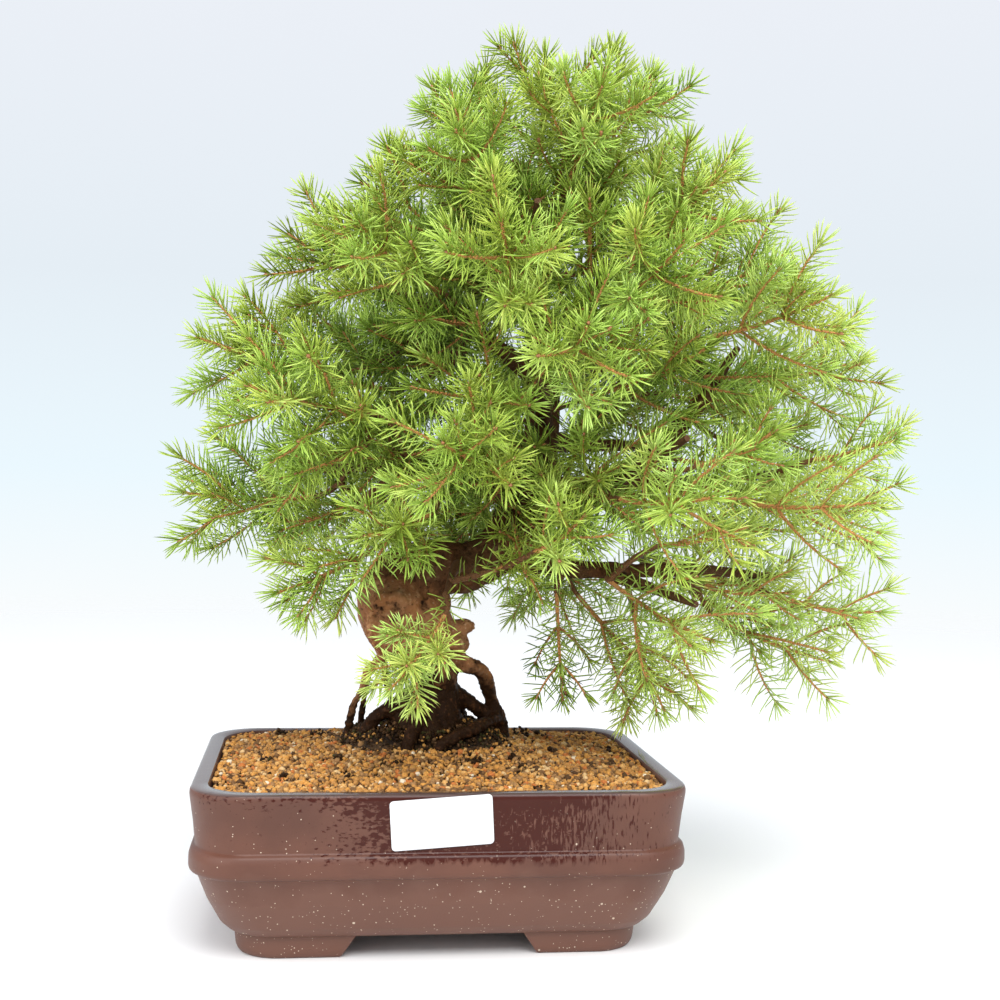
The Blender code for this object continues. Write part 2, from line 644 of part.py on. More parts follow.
def grow_side(bm, root, owner, path, taken):
    """A three-sided shoot that grows out of half of one face of the leader."""
    half = bmesh.ops.triangulate(bm, faces=[root])["faces"][0]
    corners = [vert.co.copy() for vert in half.verts]
    fine, turns = banded(path, SIDE_BANDS, LEADER_TURN)
    start = at_place(path, SIDE_START)
    places = frames([start] + fine, [0] + turns, corners[0] - half.calc_center_median())
    ring = [places[0] @ Matrix.Rotation(math.tau * corner / 3, 4, "Z") @ Vector((1, 0, 0))
            for corner in range(3)]
    collar = extrude(bm, half, corner_frame(ring) @ corner_frame(corners).inverted())
    along = (path[-1][0] - path[-2][0]).normalized()
    bands, tip = grow_shoot(bm, collar, places[0], places[1:], along)
    taken.add(owner, path[-1][0], tip, NEEDLE_REACH)
    leans = [NEEDLE_LEAN[0]] * (len(bands) - 1) + [NEEDLE_LEAN[1]]
    return [(face, way, lean, owner) for (faces, way), lean in zip(bands, leans) for face in faces]


def outward_of(face, way):
    """A band face's direction, square to the shoot."""
    face.normal_update()
    return (face.normal - way * face.normal.dot(way)).normalized()


def raise_needle(bm, face, along, lean, owner, taken):
    """Raise one face into a needle, bent clear of all other shoots, or leave it flat."""
    foot = face.calc_center_median()
    outward = outward_of(face, along)
    across = along.cross(outward)
    for bend, sideways in ((0, 0), (12, 0), (-16, 0), (0, 0.35), (0, -0.35), (-28, 0), (22, 0)):
        turn = math.radians(lean + bend)
        way = along * math.cos(turn) + outward * math.sin(turn) + across * sideways
        tip = foot + way.normalized() * NEEDLE_LENGTH
        if taken.room_round(owner, foot, tip, True) > NEEDLE_REACH + CLEARANCE:
            point = bmesh.ops.poke(bm, faces=[face])["verts"][0]
            point.co = tip
            taken.add(owner, foot, tip, NEEDLE_REACH)
            return


def make_wood(bark, plan):
    """Trunk, roots, limbs and bare twigs, grown together as one piece."""
    trunk = smooth_path(TRUNK, 2)
    limbs = [smooth_path(limb, 2) for limb in LIMBS]
    anchors = [[row for row in trunk if row[0].z > TWIG_LOWEST]] + limbs
    twigs = []
    for start, tip, _ in plan:
        way = leader_path(start, tip)[1][0] - start
        twigs.append(twig_to(start, way.normalized(), anchors))
    wood = tube("trunk", trunk, 8)
    joined = [tube("root", smooth_path(root, 1), 6) for root in ROOTS]
    joined += [tube("limb", limb, 5) for limb in limbs]
    joined += [tube("twig", twig, 3) for twig in twigs]
    joined += [ellipsoid("lobe", centre, radii, 8) for centre, radii in LOBES]
    combine(wood, joined, "UNION", "MANIFOLD")
    finish(wood, bark, smooth_angle=50)
    return [trunk] + limbs + twigs


def plug(path, sides):
    """A tube a gap wider than the wood and a gap longer at the end that is in the soil."""
    ahead = (path[0][0] - path[1][0]).normalized()
    longer = [(path[0][0] + ahead * ROOT_GAP, path[0][1])] + path[1:]
    return tube("plug", [(point, radius + ROOT_GAP) for point, radius in longer], sides)


def root_plugs():
    """The trunk's foot and its roots, a gap wider, to cut their holes in the soil."""
    return [plug(smooth_path(TRUNK, 2)[:9], 8)] + [plug(smooth_path(root, 1), 6) for root in ROOTS]


def make_sprays(green, plan, wood):
    """One object for each spray."""
    taken = Occupied(ROD_ROOM)
    for path in wood:
        taken.add_path((0, 0), path)
    leaders = [leader_path(start, tip) for start, tip, _ in plan]
    sides = {}
    for number, leader in enumerate(leaders, 1):
        if not taken.path_is_clear((number, 0), [at_place(leader, LEADER_FOOT)] + leader[1:]):
            raise ValueError(f"spray {number} starts inside another piece")
        taken.add_path((number, 0), leader)
    for number, leader in enumerate(leaders, 1):
        paths = enumerate(side_paths(leader, number, plan[number - 1][2]))
        sides[number] = {index: path for index, path in paths
                         if taken.path_is_clear((number, index + 1), path)}
        for index, path in sides[number].items():
            taken.add_path((number, index + 1), [at_place(path, SIDE_FOOT)] + path[1:])
    for number, leader in enumerate(leaders, 1):
        finish(grow_spray(number, leader, sides[number], taken), green)


def stand_at_origin():
    """Move everything so that the whole object's box is centred on the origin, on the floor."""
    corners = [Vector(corner) for made in bpy.data.objects for corner in made.bound_box]
    low = [min(corner[axis] for corner in corners) for axis in range(3)]
    high = [max(corner[axis] for corner in corners) for axis in range(3)]
    shift = Matrix.Translation((-(low[0] + high[0]) / 2, -(low[1] + high[1]) / 2, -low[2]))
    for made in bpy.data.objects:
        made.data.transform(shift)


def main():
    clear_scene()
    clay = material("purple brown clay", (0.075, 0.035, 0.032), 0.5)
    grit = material("ochre grit", (0.42, 0.21, 0.08), 0.9)
    card = material("white card", (0.85, 0.86, 0.88), 0.55)
    bark = material("red brown bark", (0.16, 0.075, 0.04), 0.8)
    green = material("spruce green", (0.22, 0.42, 0.07), 0.5)
    plan = plan_sprays()
    make_pot(clay)
    make_soil(grit, root_plugs())
    make_label(card)
    wood = make_wood(bark, plan)
    make_sprays(green, plan, wood)
    stand_at_origin()


main()
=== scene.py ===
"""Spruce bonsai in a rectangular clay pot: bark, needles, grit and finishes.

Shapes are worked out in millimetres, with the pot's centre on the floor as (0, 0, 0) and its
front facing -Y. Each finished piece is turned to metres and put where its solid stands.
"""
import math
import random
from contextlib import contextmanager

import bmesh
import bpy
import numpy as np
from bpy.props import FloatProperty, FloatVectorProperty, IntProperty, PointerProperty
from mathutils import Matrix, Vector, noise


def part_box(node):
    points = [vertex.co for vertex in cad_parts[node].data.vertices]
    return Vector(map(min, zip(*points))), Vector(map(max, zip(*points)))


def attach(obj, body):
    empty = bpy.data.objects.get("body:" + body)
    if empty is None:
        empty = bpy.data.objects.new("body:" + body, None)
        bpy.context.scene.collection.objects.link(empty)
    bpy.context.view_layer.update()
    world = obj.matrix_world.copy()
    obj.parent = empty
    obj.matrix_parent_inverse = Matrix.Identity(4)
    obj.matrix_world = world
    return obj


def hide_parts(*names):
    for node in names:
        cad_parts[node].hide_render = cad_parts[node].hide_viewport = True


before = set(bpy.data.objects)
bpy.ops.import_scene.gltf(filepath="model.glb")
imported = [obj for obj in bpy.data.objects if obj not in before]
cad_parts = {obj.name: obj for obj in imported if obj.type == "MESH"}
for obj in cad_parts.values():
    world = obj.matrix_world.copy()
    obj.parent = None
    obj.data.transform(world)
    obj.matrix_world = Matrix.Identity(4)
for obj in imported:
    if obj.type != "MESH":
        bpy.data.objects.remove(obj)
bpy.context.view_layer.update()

bl_info = {
    "name": "Spruce bonsai",
    "version": (1, 0, 0),
    "blender": (4, 5, 0),
    "location": "3D View > Sidebar > Bonsai",
    "description": "Models a potted spruce bonsai with its bark, needles and grit",
    "category": "Object",
}

MM = 0.001
UP = Vector((0, 0, 1))
POT_LOW, POT_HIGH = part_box("pot")
POT_CENTRE = Vector(((POT_LOW.x + POT_HIGH.x) / 2, (POT_LOW.y + POT_HIGH.y) / 2, POT_LOW.z))
TO_FRAME = Matrix.Translation(POT_CENTRE) @ Matrix.Scale(MM, 4)
POT_WIDTH = (POT_HIGH.x - POT_LOW.x) / MM
POT_DEPTH = (POT_HIGH.y - POT_LOW.y) / MM
POT_HEIGHT = (POT_HIGH.z - POT_LOW.z) / MM

# Pot: insets and heights up the outer side and down the inner side.
OUTER_WALL = (
    (23, 11), (19, 12.6), (15, 17), (8.5, 30), (3.4, 44), (0.7, 45), (0, 47), (0, 52.5),
    (0.9, 55.8), (3.0, 57), (1.7, 70), (0.1, 81.5), (0, 83.6), (0.8, 85.6), (2, 86), (7.6, 86),
)
INNER_WALL = ((8.6, 85.4), (9.4, 83), (11, 48), (24, 25), (29, 20))
FEET_WALL = ((24.5, 0), (23, 3), (22, 12))
BASE_CORNER = 22.4
FOOT_CORNER = 21.0
FOOT_HEIGHT = 11.0
FOOT_GAP_FRONT = (99.0, 84.0)
FOOT_GAP_SIDE = (78.0, 64.0)
FEET_HOLLOW = 37.0
CUT_BELOW = 6.0
CUT_ABOVE = 3.0
DRAIN_RADIUS = 8.0
DRAIN_PLACES = (-55.0, 55.0)

# Soil: a low mound with the old root ball standing out of it.
SOIL_EDGE = 82.6
SOIL_MOUND = 9.5
MOUND_CENTRE = (-2.0, 30.0)
MOUND_REACH = 75.0
SOIL_UNEVENNESS = 0.6
SOIL_INSET = 9.7
SOIL_CORNER = 21.3
BALL_CENTRE = (-2.0, 32.0, 84.0)
BALL_RADII = (50.0, 40.0, 21.0)

LABEL_SIZE = (50.0, 25.0, 0.4)
LABEL_CENTRE_X = -2.0
LABEL_TILT = 4.0
LABEL_RISE = 1.9

# Trunk, roots and limbs: points (x, y, z, radius) that a smooth curve goes through.
TRUNK = (
    (2, 26, 62, 20), (1, 26, 80, 27), (0, 26, 98, 24), (3, 24, 112, 16), (4, 22, 123, 12.5),
    (2, 20, 134, 14), (-4, 20, 145, 20.5), (-11, 20, 156, 24.5), (-17, 20, 167, 25),
    (-18, 20, 177, 22), (-8, 21, 186, 18), (8, 23, 189, 15.5), (22, 26, 190, 14.5),
    (38, 28, 200, 13), (50, 28, 222, 12), (59, 28, 246, 11), (63, 27, 275, 10),
    (62, 25, 312, 9), (54, 21, 352, 7.5), (47, 20, 390, 5.2), (43, 20, 422, 2.2),
)
ROOTS = (
    ((-47, 31, 84, 2.6), (-44, 30, 102, 2.5), (-42, 28, 111, 2.4), (-37, 25, 121, 2.5),
     (-34, 22, 132, 2.7), (-22, 19, 141.5, 3.2), (-8, 19, 146, 6)),
    ((-40, 38, 84, 2), (-37, 36, 107, 2), (-35, 31, 119, 2), (-34, 22.5, 131, 2)),
    ((-17, 52, 84, 2), (-19, 50, 106, 2), (-22, 48, 116, 2), (-24, 42, 126, 2.2),
     (-24, 32, 139, 2.6), (-14, 24, 150, 6)),
    ((44, 34, 84, 5.2), (42, 32, 100, 4.8), (37, 28, 112, 3.9), (34, 25, 121, 4.4),
     (29.5, 20, 130.5, 4.8), (18, 16, 136, 5.4), (0, 18, 142, 8)),
    ((26, 62, 84, 3.6), (21, 56, 104, 3.6), (12, 46, 120, 4), (0, 30, 138, 6)),
    ((-4, -10, 84, 3), (7, -3, 94, 3.4), (22, 5, 99.5, 3.6), (34, 17, 103, 3.6), (41, 30, 102, 3.4)),
    ((40, 31, 96, 3.6), (29, 28, 107.5, 4), (16, 24.5, 117, 5.4), (3, 22, 125, 8)),
    ((-42, 20, 88, 3.6), (-30, 20, 104.5, 4), (-19, 20, 111, 5), (-8, 21, 117, 7), (1, 22, 121, 9)),
    ((-16, -8, 84, 3.4), (-10, 3, 101, 4.2), (-4, 13, 109, 6), (1, 20, 117, 9)),
)
LOBES = (
    ((17.5, 14, 156.5), (7.2, 7, 4.4)), ((12, 12, 147.5), (10, 9, 7)), ((-22, 3, 170), (14, 9, 10)),
)
LIMBS = (
    ((50, 28, 226, 6.5), (24, 16, 246, 5), (-26, 6, 246, 3.4), (-68, 4, 243, 1.9)),
    ((-4, 10, 247, 4), (-26, -22, 238, 2.7), (-44, -54, 226, 1.7)),
    ((38, 28, 200, 10), (66, 18, 221, 9), (103, 2, 242, 7.5), (140, -8, 276, 4.7), (168, -6, 316, 1.9)),
    ((103, 2, 242, 6), (150, 8, 240, 3.7), (196, 12, 246, 1.9)),
    ((84, 10, 232, 6), (108, -36, 248, 3.4), (122, -76, 262, 1.8)),
    ((36, 28, 196, 8), (62, 20, 192, 6.4), (96, 14, 189, 5.4), (150, 12, 190, 3.6), (200, 14, 186, 1.9)),
    ((96, 14, 189, 5), (116, -28, 182, 3.1), (132, -62, 176, 1.8)),
    ((18, 22, 192, 6), (10, -8, 189, 2.5), (4, -30, 178, 1.4)),
    ((63, 27, 268, 7), (57, -14, 284, 3.9), (48, -58, 290, 1.9)),
    ((55, 28, 236, 7), (62, 64, 246, 4.1), (66, 106, 250, 1.9)),
    ((52, 28, 228, 6), (8, 66, 240, 3.7), (-34, 92, 246, 1.9)),
    ((62, 27, 262, 7), (106, 66, 262, 4.1), (152, 92, 262, 1.9)),
    ((63, 26, 296, 7), (22, 14, 322, 3.9), (-20, 10, 344, 1.9)),
    ((61, 24, 322, 6.4), (98, 30, 350, 3.9), (132, 30, 384, 1.9)),
    ((56, 22, 342, 6), (50, -18, 364, 3.7), (46, -54, 384, 1.9)),
    ((55, 22, 346, 6), (70, 62, 364, 3.7), (76, 98, 372, 1.9)),
    ((50, 20, 374, 4.4), (24, 12, 384, 2.7), (0, 10, 394, 1.7)),
    ((48, 20, 380, 4.4), (70, 18, 392, 2.9), (83, 17, 399, 1.7)),
)
# The round scar on the trunk's swelling, and the small hollow beside it: place and half sizes.
SCAR = ((-24, -4, 169.5), (8.5, 6.5))
HOLLOW = ((-5.0, -1, 170.0), (4.8, 4.2))
# Limbs thicker than this are part of the trunk's skin.
SKIN_RADIUS = 3.6
TRUNK_CUT = 78.0
# noise_vector starts from the clock unless it is given a seed.
BARK_SEED = 1

# Canopy: its front outline as distances from a centre, every 22.5 degrees from +X upwards.
CANOPY_CENTRE = (60.0, 20.0, 315.0)
CANOPY_RADII = (198, 164, 151, 178, 174, 164, 147, 163, 196, 224, 203, 154, 160, 212, 256, 231)
CANOPY_HALF_DEPTH = 158.0
SPRAY_RINGS = (
    (0, -67.5, 22.5, 13), (-35, 10, 36, 6), (-35, 298, 36, 2), (35, 30, 36, 10),
    (-64, 40, 90, 4), (64, 12, 90, 4), (-90, 0, 0, 1), (90, 0, 0, 1),
)
# Sprays that hang apart from the rest: start and tip of the leader, and its side shoots' length.
LOW_SPRAYS = (
    ((2, -46, 168), (-27, -86, 136), 28),
    ((70, 10, 176), (74, 6, 116), 28),
    ((112, -2, 166), (124, -12, 112), 32),
    ((-26, -20, 206), (-84, -26, 178), 34),
    ((-4, -16, 220), (-40, -70, 210), 34),
    ((44, 1, 214), (43, -58, 190), 28),
    ((196, 6, 176), (258, 6, 167), 36),
)
# Sprays inside the canopy: angle, depth angle, and their share of the way out to its surface.
INNER_SPRAYS = (
    (324, 28, 0.6), (204, 14, 0.6), (300, -56, 0.6), (204, -70, 0.7), (228, 70, 0.7),
    (0, -42, 0.6), (48, 42, 0.7), (348, 56, 0.8),
)
SOURCE = (56.0, 20.0, 222.0)
SOURCE_SHARE_ABOVE = 0.55
SOURCE_SHARE_BELOW = 0.2
SPRAY_LENGTH = 70.0
TIP_INSET = 9.6
LEADER_SAG = 5.0
LEADER_RADIUS = (1.4, 0.8)
SPRAY_ROLL = 50.0
# Main side shoots: their place along the leader, and how far round it they stand.
SIDE_SHOOTS = ((0.28, 0), (0.28, 120), (0.28, 240), (0.62, 60), (0.62, 180), (0.62, 300))
SIDE_LENGTH = 48.0
INNER_SIDE_LENGTH = 57.0
SIDE_SPREAD = 56.0
SIDE_RADIUS = (0.95, 0.6)
TWIG_RADIUS = (2.0, 1.4)
TWIG_CLEARANCE = 10.0
TWIG_DETOUR = 1.7
TWIG_KNEE = 0.4
TWIG_LOWEST = 205.0
GOLDEN_TURN = math.radians(137.5)
# How lively a low spray is: its needles' tone, their spacing and length, and its shoots.
PLAIN_SPRAY = (0.0, 1.0, 1.0, 1.0)
SPRAY_HABITS = {
    42: (0.2, 0.85, 0.85, 1.4), 43: (-0.3, 1.7, 0.8, 0), 44: (0.12, 1.3, 0.95, 0),
    45: (0, 1, 1, 1), 46: (0.05, 1.0, 1.0, 0.7), 47: (-0.15, 1.6, 0.85, 0), 48: (0.08, 1.1, 1, 0.7),
}
# Filling sprays: the part of the canopy that they stand in, from its middle outwards, and the
# room below and beside the trunk that stays bare.
FILL_DEPTHS = (0.5, 0.97)
FILL_LENGTH = 46.0
FIRST_FILL = 101
FILL_SHARE = 120
NEEDLES_AT_TIP = 10
BARE_HEIGHT = 216.0
BARE_SIDES = (-90.0, 190.0)

# Stage: each lamp's place in metres from the pot, its share of the main power, and its size. The
# camera's place is in millimetres from the pot, and it is turned by radians of yaw, pitch and roll.
LAMPS = (("key", (0.25, -1.5, 2.0), 1.0, 1.5), ("fill", (-1.6, -1.1, 1.2), 0.35, 1.6))
CAMERA_PLACE = (-64.9, -809.1, 235.4)
CAMERA_TURN = (-0.1238, -0.0088, 0.0178)


def a_length(name, text, metres):
    return FloatProperty(name=name, description=text, default=metres, unit="LENGTH")


def a_colour(name, text, *levels):
    return FloatVectorProperty(name=name, description=text, default=levels, subtype="COLOR")


def a_count(name, text, count):
    return IntProperty(name=name, description=text, default=count)


class FoliageSettings(bpy.types.PropertyGroup):
    needle_length: a_length("Needle length", "Length of a full needle", 0.0155)
    needle_width: a_length("Needle width", "Width of a needle at its middle", 0.00092)
    needle_spacing: a_length("Needle spacing", "Length of shoot for each needle", 0.00062)
    extra_shoots: a_count("Extra shoots", "Shoots besides the main ones in a spray", 1)
    fill_sprays: a_count("Filling sprays", "Small sprays between the main ones", 62)
    # The deep green also stands for painted shade deep in the canopy, and the bright green for painted light
    # on its right side.
    old_and_shaded: a_colour("Deep green", "Oldest and darkest needles", 0.13, 0.21, 0.028)
    middle: a_colour("Middle green", "Most needles", 0.4, 0.6, 0.085)
    bright: a_colour("Bright green", "Fresh needles", 0.59, 0.8, 0.21)


class WoodSettings(bpy.types.PropertyGroup):
    bark_grain: a_length("Bark grain", "Smallest form carved into the bark", 0.00115)
    bark_depth: a_length("Bark depth", "Depth of the wrinkles in the bark", 0.0014)
    # Painted shade too: the bark's wrinkles and folds and the canopy's shade take this colour, besides the
    # wet foot and dark pores.
    dark_bark_and_shade: a_colour("Crevice", "Bark in folds and where it is wet", 0.015, 0.0065, 0.003)
    bark: a_colour("Bark", "Most of the bark", 0.32, 0.15, 0.066)
    ridge: a_colour("Ridge", "Bark where it stands out", 0.57, 0.34, 0.18)
    # The old limbs' dark colour is partly painted shade of the canopy over them.
    limb: a_colour("Old limb", "Bark of the limbs inside the canopy", 0.12, 0.056, 0.026)
    twig: a_colour("Young twig", "Bark of this year's shoots", 0.6, 0.28, 0.1)


class PotSettings(bpy.types.PropertyGroup):
    clay: a_colour("Clay", "Dry clay", 0.124, 0.046, 0.027)
    clay_shade: a_colour("Darker clay", "Clouds in the dry clay", 0.088, 0.031, 0.018)
    # Lighter clay low down: partly dust, partly painted light thrown up from the floor.
    dust_and_floor_light: a_colour("Dusty clay", "Clay below the belt", 0.15, 0.066, 0.043)
    wet: a_colour("Wet clay", "Clay where water runs over it", 0.042, 0.006, 0.003)
    glaze: a_colour("Rim", "Smooth top of the rim", 0.09, 0.06, 0.055)
    flecks: a_colour("Flecks", "Pale grains in the clay", 0.62, 0.5, 0.38)
    corner_segments: a_count("Corner segments", "Faces round each corner", 12)


class SoilSettings(bpy.types.PropertyGroup):
    grain: a_length("Grain", "Distance between grains of grit", 0.00245)
    bed: a_colour("Bed", "Fines between the grains", 0.09, 0.05, 0.025)


class StageSettings(bpy.types.PropertyGroup):
    floor_radius: a_length("Floor radius", "Radius of the pale floor", 2.6)
    floor: a_colour("Floor", "Colour of the floor", 0.92, 0.92, 0.91)
    low: a_colour("Low light", "Light from below the horizon", 0.95, 0.98, 0.99)
    horizon: a_colour("Horizon", "Light at the horizon", 0.83, 0.94, 1.0)
    zenith: a_colour("Zenith", "Light from above", 0.84, 0.87, 0.93)
    key_power: FloatProperty(name="Key light", description="Power of the main light in watts",
                             default=55.0)


class NodeTree:
    """Short calls that add nodes to a tree and link them."""

    def __init__(self, tree):
        self.nodes, self.links = tree.nodes, tree.links

    def add(self, kind, inputs, **values):
        node = self.nodes.new("ShaderNode" + kind)
        for key, value in values.items():
            setattr(node, key, value)
        for socket, value in inputs.items():
            self.put(value, node.inputs[socket])
        return node

    def put(self, value, socket):
        """Give a socket a link, a number or a colour."""
        if isinstance(value, bpy.types.NodeSocket):
            self.links.new(value, socket)
        elif socket.type == "RGBA":
            socket.default_value = (*value, 1)
        else:
            socket.default_value = value

    def span(self, value, low, high, to_low=0.0, to_high=1.0):
        ends = {"Value": value, "From Min": low, "From Max": high, "To Min": to_low, "To Max": to_high}
        return self.add("MapRange", ends).outputs[0]

    def sum(self, operation, first, second):
        return self.add("Math", {0: first, 1: second}, operation=operation).outputs[0]

    def plus(self, first, second):
        return self.sum("ADD", first, second)

    def times(self, first, second):
        return self.sum("MULTIPLY", first, second)

    def ramp(self, value, stops, interpolation="LINEAR"):
        node = self.add("ValToRGB", {"Fac": value})
        node.color_ramp.interpolation = interpolation
        marks = node.color_ramp.elements
        while len(marks) < len(stops):
            marks.new(0.5)
        for mark, (place, levels) in zip(marks, stops):
            mark.position = place
            mark.color = (*levels, 1)
        return node.outputs["Color"]

    def mix(self, share, first, second, blend="MIX"):
        node = self.add("Mix", {0: share}, data_type="RGBA", blend_type=blend)
        self.put(first, node.inputs[6])
        self.put(second, node.inputs[7])
        return node.outputs[2]


class Finish(NodeTree):
    """A Principled material whose patterns are laid out in millimetres from the pot's centre."""

    def __init__(self, name, roughness, shine=0.5):
        self.material = bpy.data.materials.new(name)
        self.material.use_nodes = True
        super().__init__(self.material.node_tree)
        self.shader = self.nodes["Principled BSDF"]
        self.shader.inputs["Roughness"].default_value = roughness
        self.shader.inputs["Specular IOR Level"].default_value = shine
        own = self.add("TexCoord", {}).outputs["Object"]
        scale = {"Location": -POT_CENTRE / MM, "Scale": (1 / MM, 1 / MM, 1 / MM)}
        self.place = self.add("Mapping", {"Vector": own, **scale}).outputs["Vector"]

    def axis(self, name):
        return self.add("SeparateXYZ", {0: self.place}).outputs[name]

    def stretched(self, factors):
        """The place, drawn out along each axis by its factor."""
        shrink = [1 / factor for factor in factors]
        return self.add("Mapping", {"Vector": self.place, "Scale": shrink}).outputs["Vector"]

    def cloud(self, size, detail=2, factors=None):
        place = self.stretched(factors) if factors else self.place
        return self.add("TexNoise", {"Vector": place, "Scale": 1 / size, "Detail": detail}).outputs[0]

    def drift(self, size, detail, reach, factors=None):
        """A cloud that goes from minus the reach to the reach."""
        return self.span(self.cloud(size, detail, factors), 0.3, 0.7, -reach, reach)

    def cells(self, size):
        """Distance from the middle of a cell, and the cell's own random values."""
        pattern = self.add("TexVoronoi", {"Vector": self.place, "Scale": 1 / size})
        values = self.add("SeparateColor", {0: pattern.outputs["Color"]}).outputs
        return pattern.outputs["Distance"], values

    def attribute(self, name):
        return self.add("Attribute", {}, attribute_name=name).outputs["Fac"]

    def drive(self, socket, value):
        self.links.new(value, self.shader.inputs[socket])

    def paint(self, colours):
        self.drive("Base Color", colours)

    def bump(self, height, strength, distance):
        inputs = {"Height": height, "Strength": strength, "Distance": distance * MM}
        self.drive("Normal", self.add("Bump", inputs).outputs["Normal"])


def flecks_of(clay, size, plain):
    """Pale grains of mixed sizes in the clay; plain is the part of the cells that have none."""
    distance, values = clay.cells(size)
    inside = clay.sum("LESS_THAN", distance, clay.span(values[1], 0, 1, 0.07, 0.2))
    return clay.times(inside, clay.sum("GREATER_THAN", values[0], plain))


def water_on(clay, height, across, depth):
    """Water on the front: solid right of the middle, with blots and streaks at its ends."""
    lowest = clay.plus(height, clay.drift(3, 3, 2, (1, 1, 3)))
    front = clay.times(clay.span(lowest, 51.5, 54), clay.span(depth, -86, -90))
    blots = clay.drift(1.7, 4, 0.5, (1.7, 1, 1))
    streaks = clay.drift(1.15, 4, 0.5, (1, 1, 5))
    left = clay.plus(clay.span(across, -72, -10, -0.42, 0.5), blots)
    right = clay.plus(clay.span(across, 104, 22, -0.3, 0.62), streaks)
    under_rim = clay.times(clay.span(height, 76, 84, 0, 0.4), clay.span(across, 90, 60))
    water = clay.plus(clay.sum("MINIMUM", left, right), under_rim)
    return clay.times(clay.span(water, -0.02, 0.24), front)


def clay_finish(pot):
    """Satin clay, wet on the front's upper band, with pale grains, most of them low down."""
    clay = Finish("purple_brown_clay", 0.5)
    height = clay.axis("Z")
    body = clay.mix(clay.span(clay.cloud(40, 4), 0.36, 0.64), pot.clay_shade, pot.clay)
    # Lighter below the belt: partly dust, partly painted light thrown up from the floor.
    dust_and_floor_light = clay.span(clay.plus(height, clay.drift(20, 3, 9)), 46, 34)
    body = clay.mix(clay.times(dust_and_floor_light, 0.7), body, pot.dust_and_floor_light)
    wet = water_on(clay, height, clay.axis("X"), clay.axis("Y"))
    rim = clay.span(height, 85.0, 85.5)
    body = clay.mix(clay.times(wet, 0.92), body, pot.wet)
    body = clay.mix(clay.times(rim, 0.85), body, pot.glaze)
    small = flecks_of(clay, 1.7, clay.span(height, 88, 14, 0.97, 0.5))
    large = flecks_of(clay, 3.6, clay.span(height, 70, 14, 0.985, 0.86))
    shown = clay.span(clay.sum("MAXIMUM", wet, rim), 0, 1, 0.85, 0.2)
    flecks = clay.times(clay.sum("MAXIMUM", small, large), shown)
    clay.paint(clay.mix(flecks, body, pot.flecks))
    gloss = clay.sum("MAXIMUM", clay.times(wet, 0.75), rim)
    clay.drive("Roughness", clay.span(gloss, 0, 1, 0.46, 0.12))
    clay.drive("Specular IOR Level", clay.span(wet, 0, 1, 0.4, 0.2))
    grain = clay.times(clay.cloud(0.9, 3), clay.span(gloss, 0, 1, 1, 0.1))
    clay.bump(clay.plus(grain, clay.times(clay.cloud(7, 2), 0.6)), 0.22, 0.3)
    return clay.material


def card_finish():
    card = Finish("white_card", 0.42)
    card.paint(card.mix(card.cloud(9, 3), (0.74, 0.745, 0.76), (0.8, 0.8, 0.81)))
    card.bump(card.cloud(0.35, 2), 0.08, 0.05)
    return card.material


def grit_finish():
    """Each grain has one of nine colours, from dark brown over ochre to cream."""
    grit = Finish("ochre_grit", 0.72, 0.16)
    kinds = grit.ramp(grit.attribute("tone"), (
        (0, (0.09, 0.044, 0.018)), (0.05, (0.19, 0.095, 0.037)), (0.17, (0.34, 0.18, 0.072)),
        (0.32, (0.48, 0.23, 0.065)), (0.51, (0.62, 0.29, 0.07)), (0.71, (0.66, 0.36, 0.12)),
        (0.85, (0.52, 0.17, 0.045)), (0.92, (0.7, 0.46, 0.22)), (0.985, (0.82, 0.68, 0.5)),
    ), "CONSTANT")
    speckle = grit.span(grit.cloud(0.6, 2), 0.3, 0.7, 0.72, 1.15)
    shade = grit.add("CombineColor", {0: speckle, 1: speckle, 2: speckle}).outputs[0]
    grit.paint(grit.mix(1.0, kinds, shade, "MULTIPLY"))
    grit.bump(grit.cloud(0.7, 3), 0.8, 0.4)
    return grit.material


def bed_finish(soil):
    """Brown fines between the grains, and nearly black ones on the root ball."""
    bed = Finish("soil_fines", 0.85, 0.15)
    fines = bed.mix(bed.span(bed.cloud(3, 3), 0.35, 0.65), (0.02, 0.013, 0.009), soil.bed)
    bed.paint(bed.mix(bed.span(bed.axis("Z"), 92, 95), fines, (0.018, 0.011, 0.007)))
    bed.bump(bed.cloud(1.2, 3), 0.7, 0.6)
    return bed.material


def crumb_finish():
    crumb = Finish("wet_crumbs", 0.5, 0.08)
    crumb.paint(crumb.ramp(crumb.attribute("tone"), (
        (0, (0.024, 0.011, 0.004)), (0.4, (0.05, 0.025, 0.01)), (0.68, (0.05, 0.042, 0.014)),
        (0.76, (0.12, 0.062, 0.028)), (0.9, (0.45, 0.22, 0.06)),
    ), "CONSTANT"))
    crumb.bump(crumb.cloud(0.6, 2), 0.6, 0.3)
    return crumb.material


def foot_of(bark, height):
    """The dark foot, which reaches higher in its middle than on the roots beside it."""
    aside = bark.add("VectorMath", {0: bark.stretched((1, 1, 1e6)), 1: (2, 26, 0)},
                     operation="DISTANCE").outputs["Value"]
    edge = bark.plus(bark.span(aside, 26, 44, 0, 26), bark.drift(9, 3, 9))
    return bark.span(bark.plus(height, edge), 146, 128)


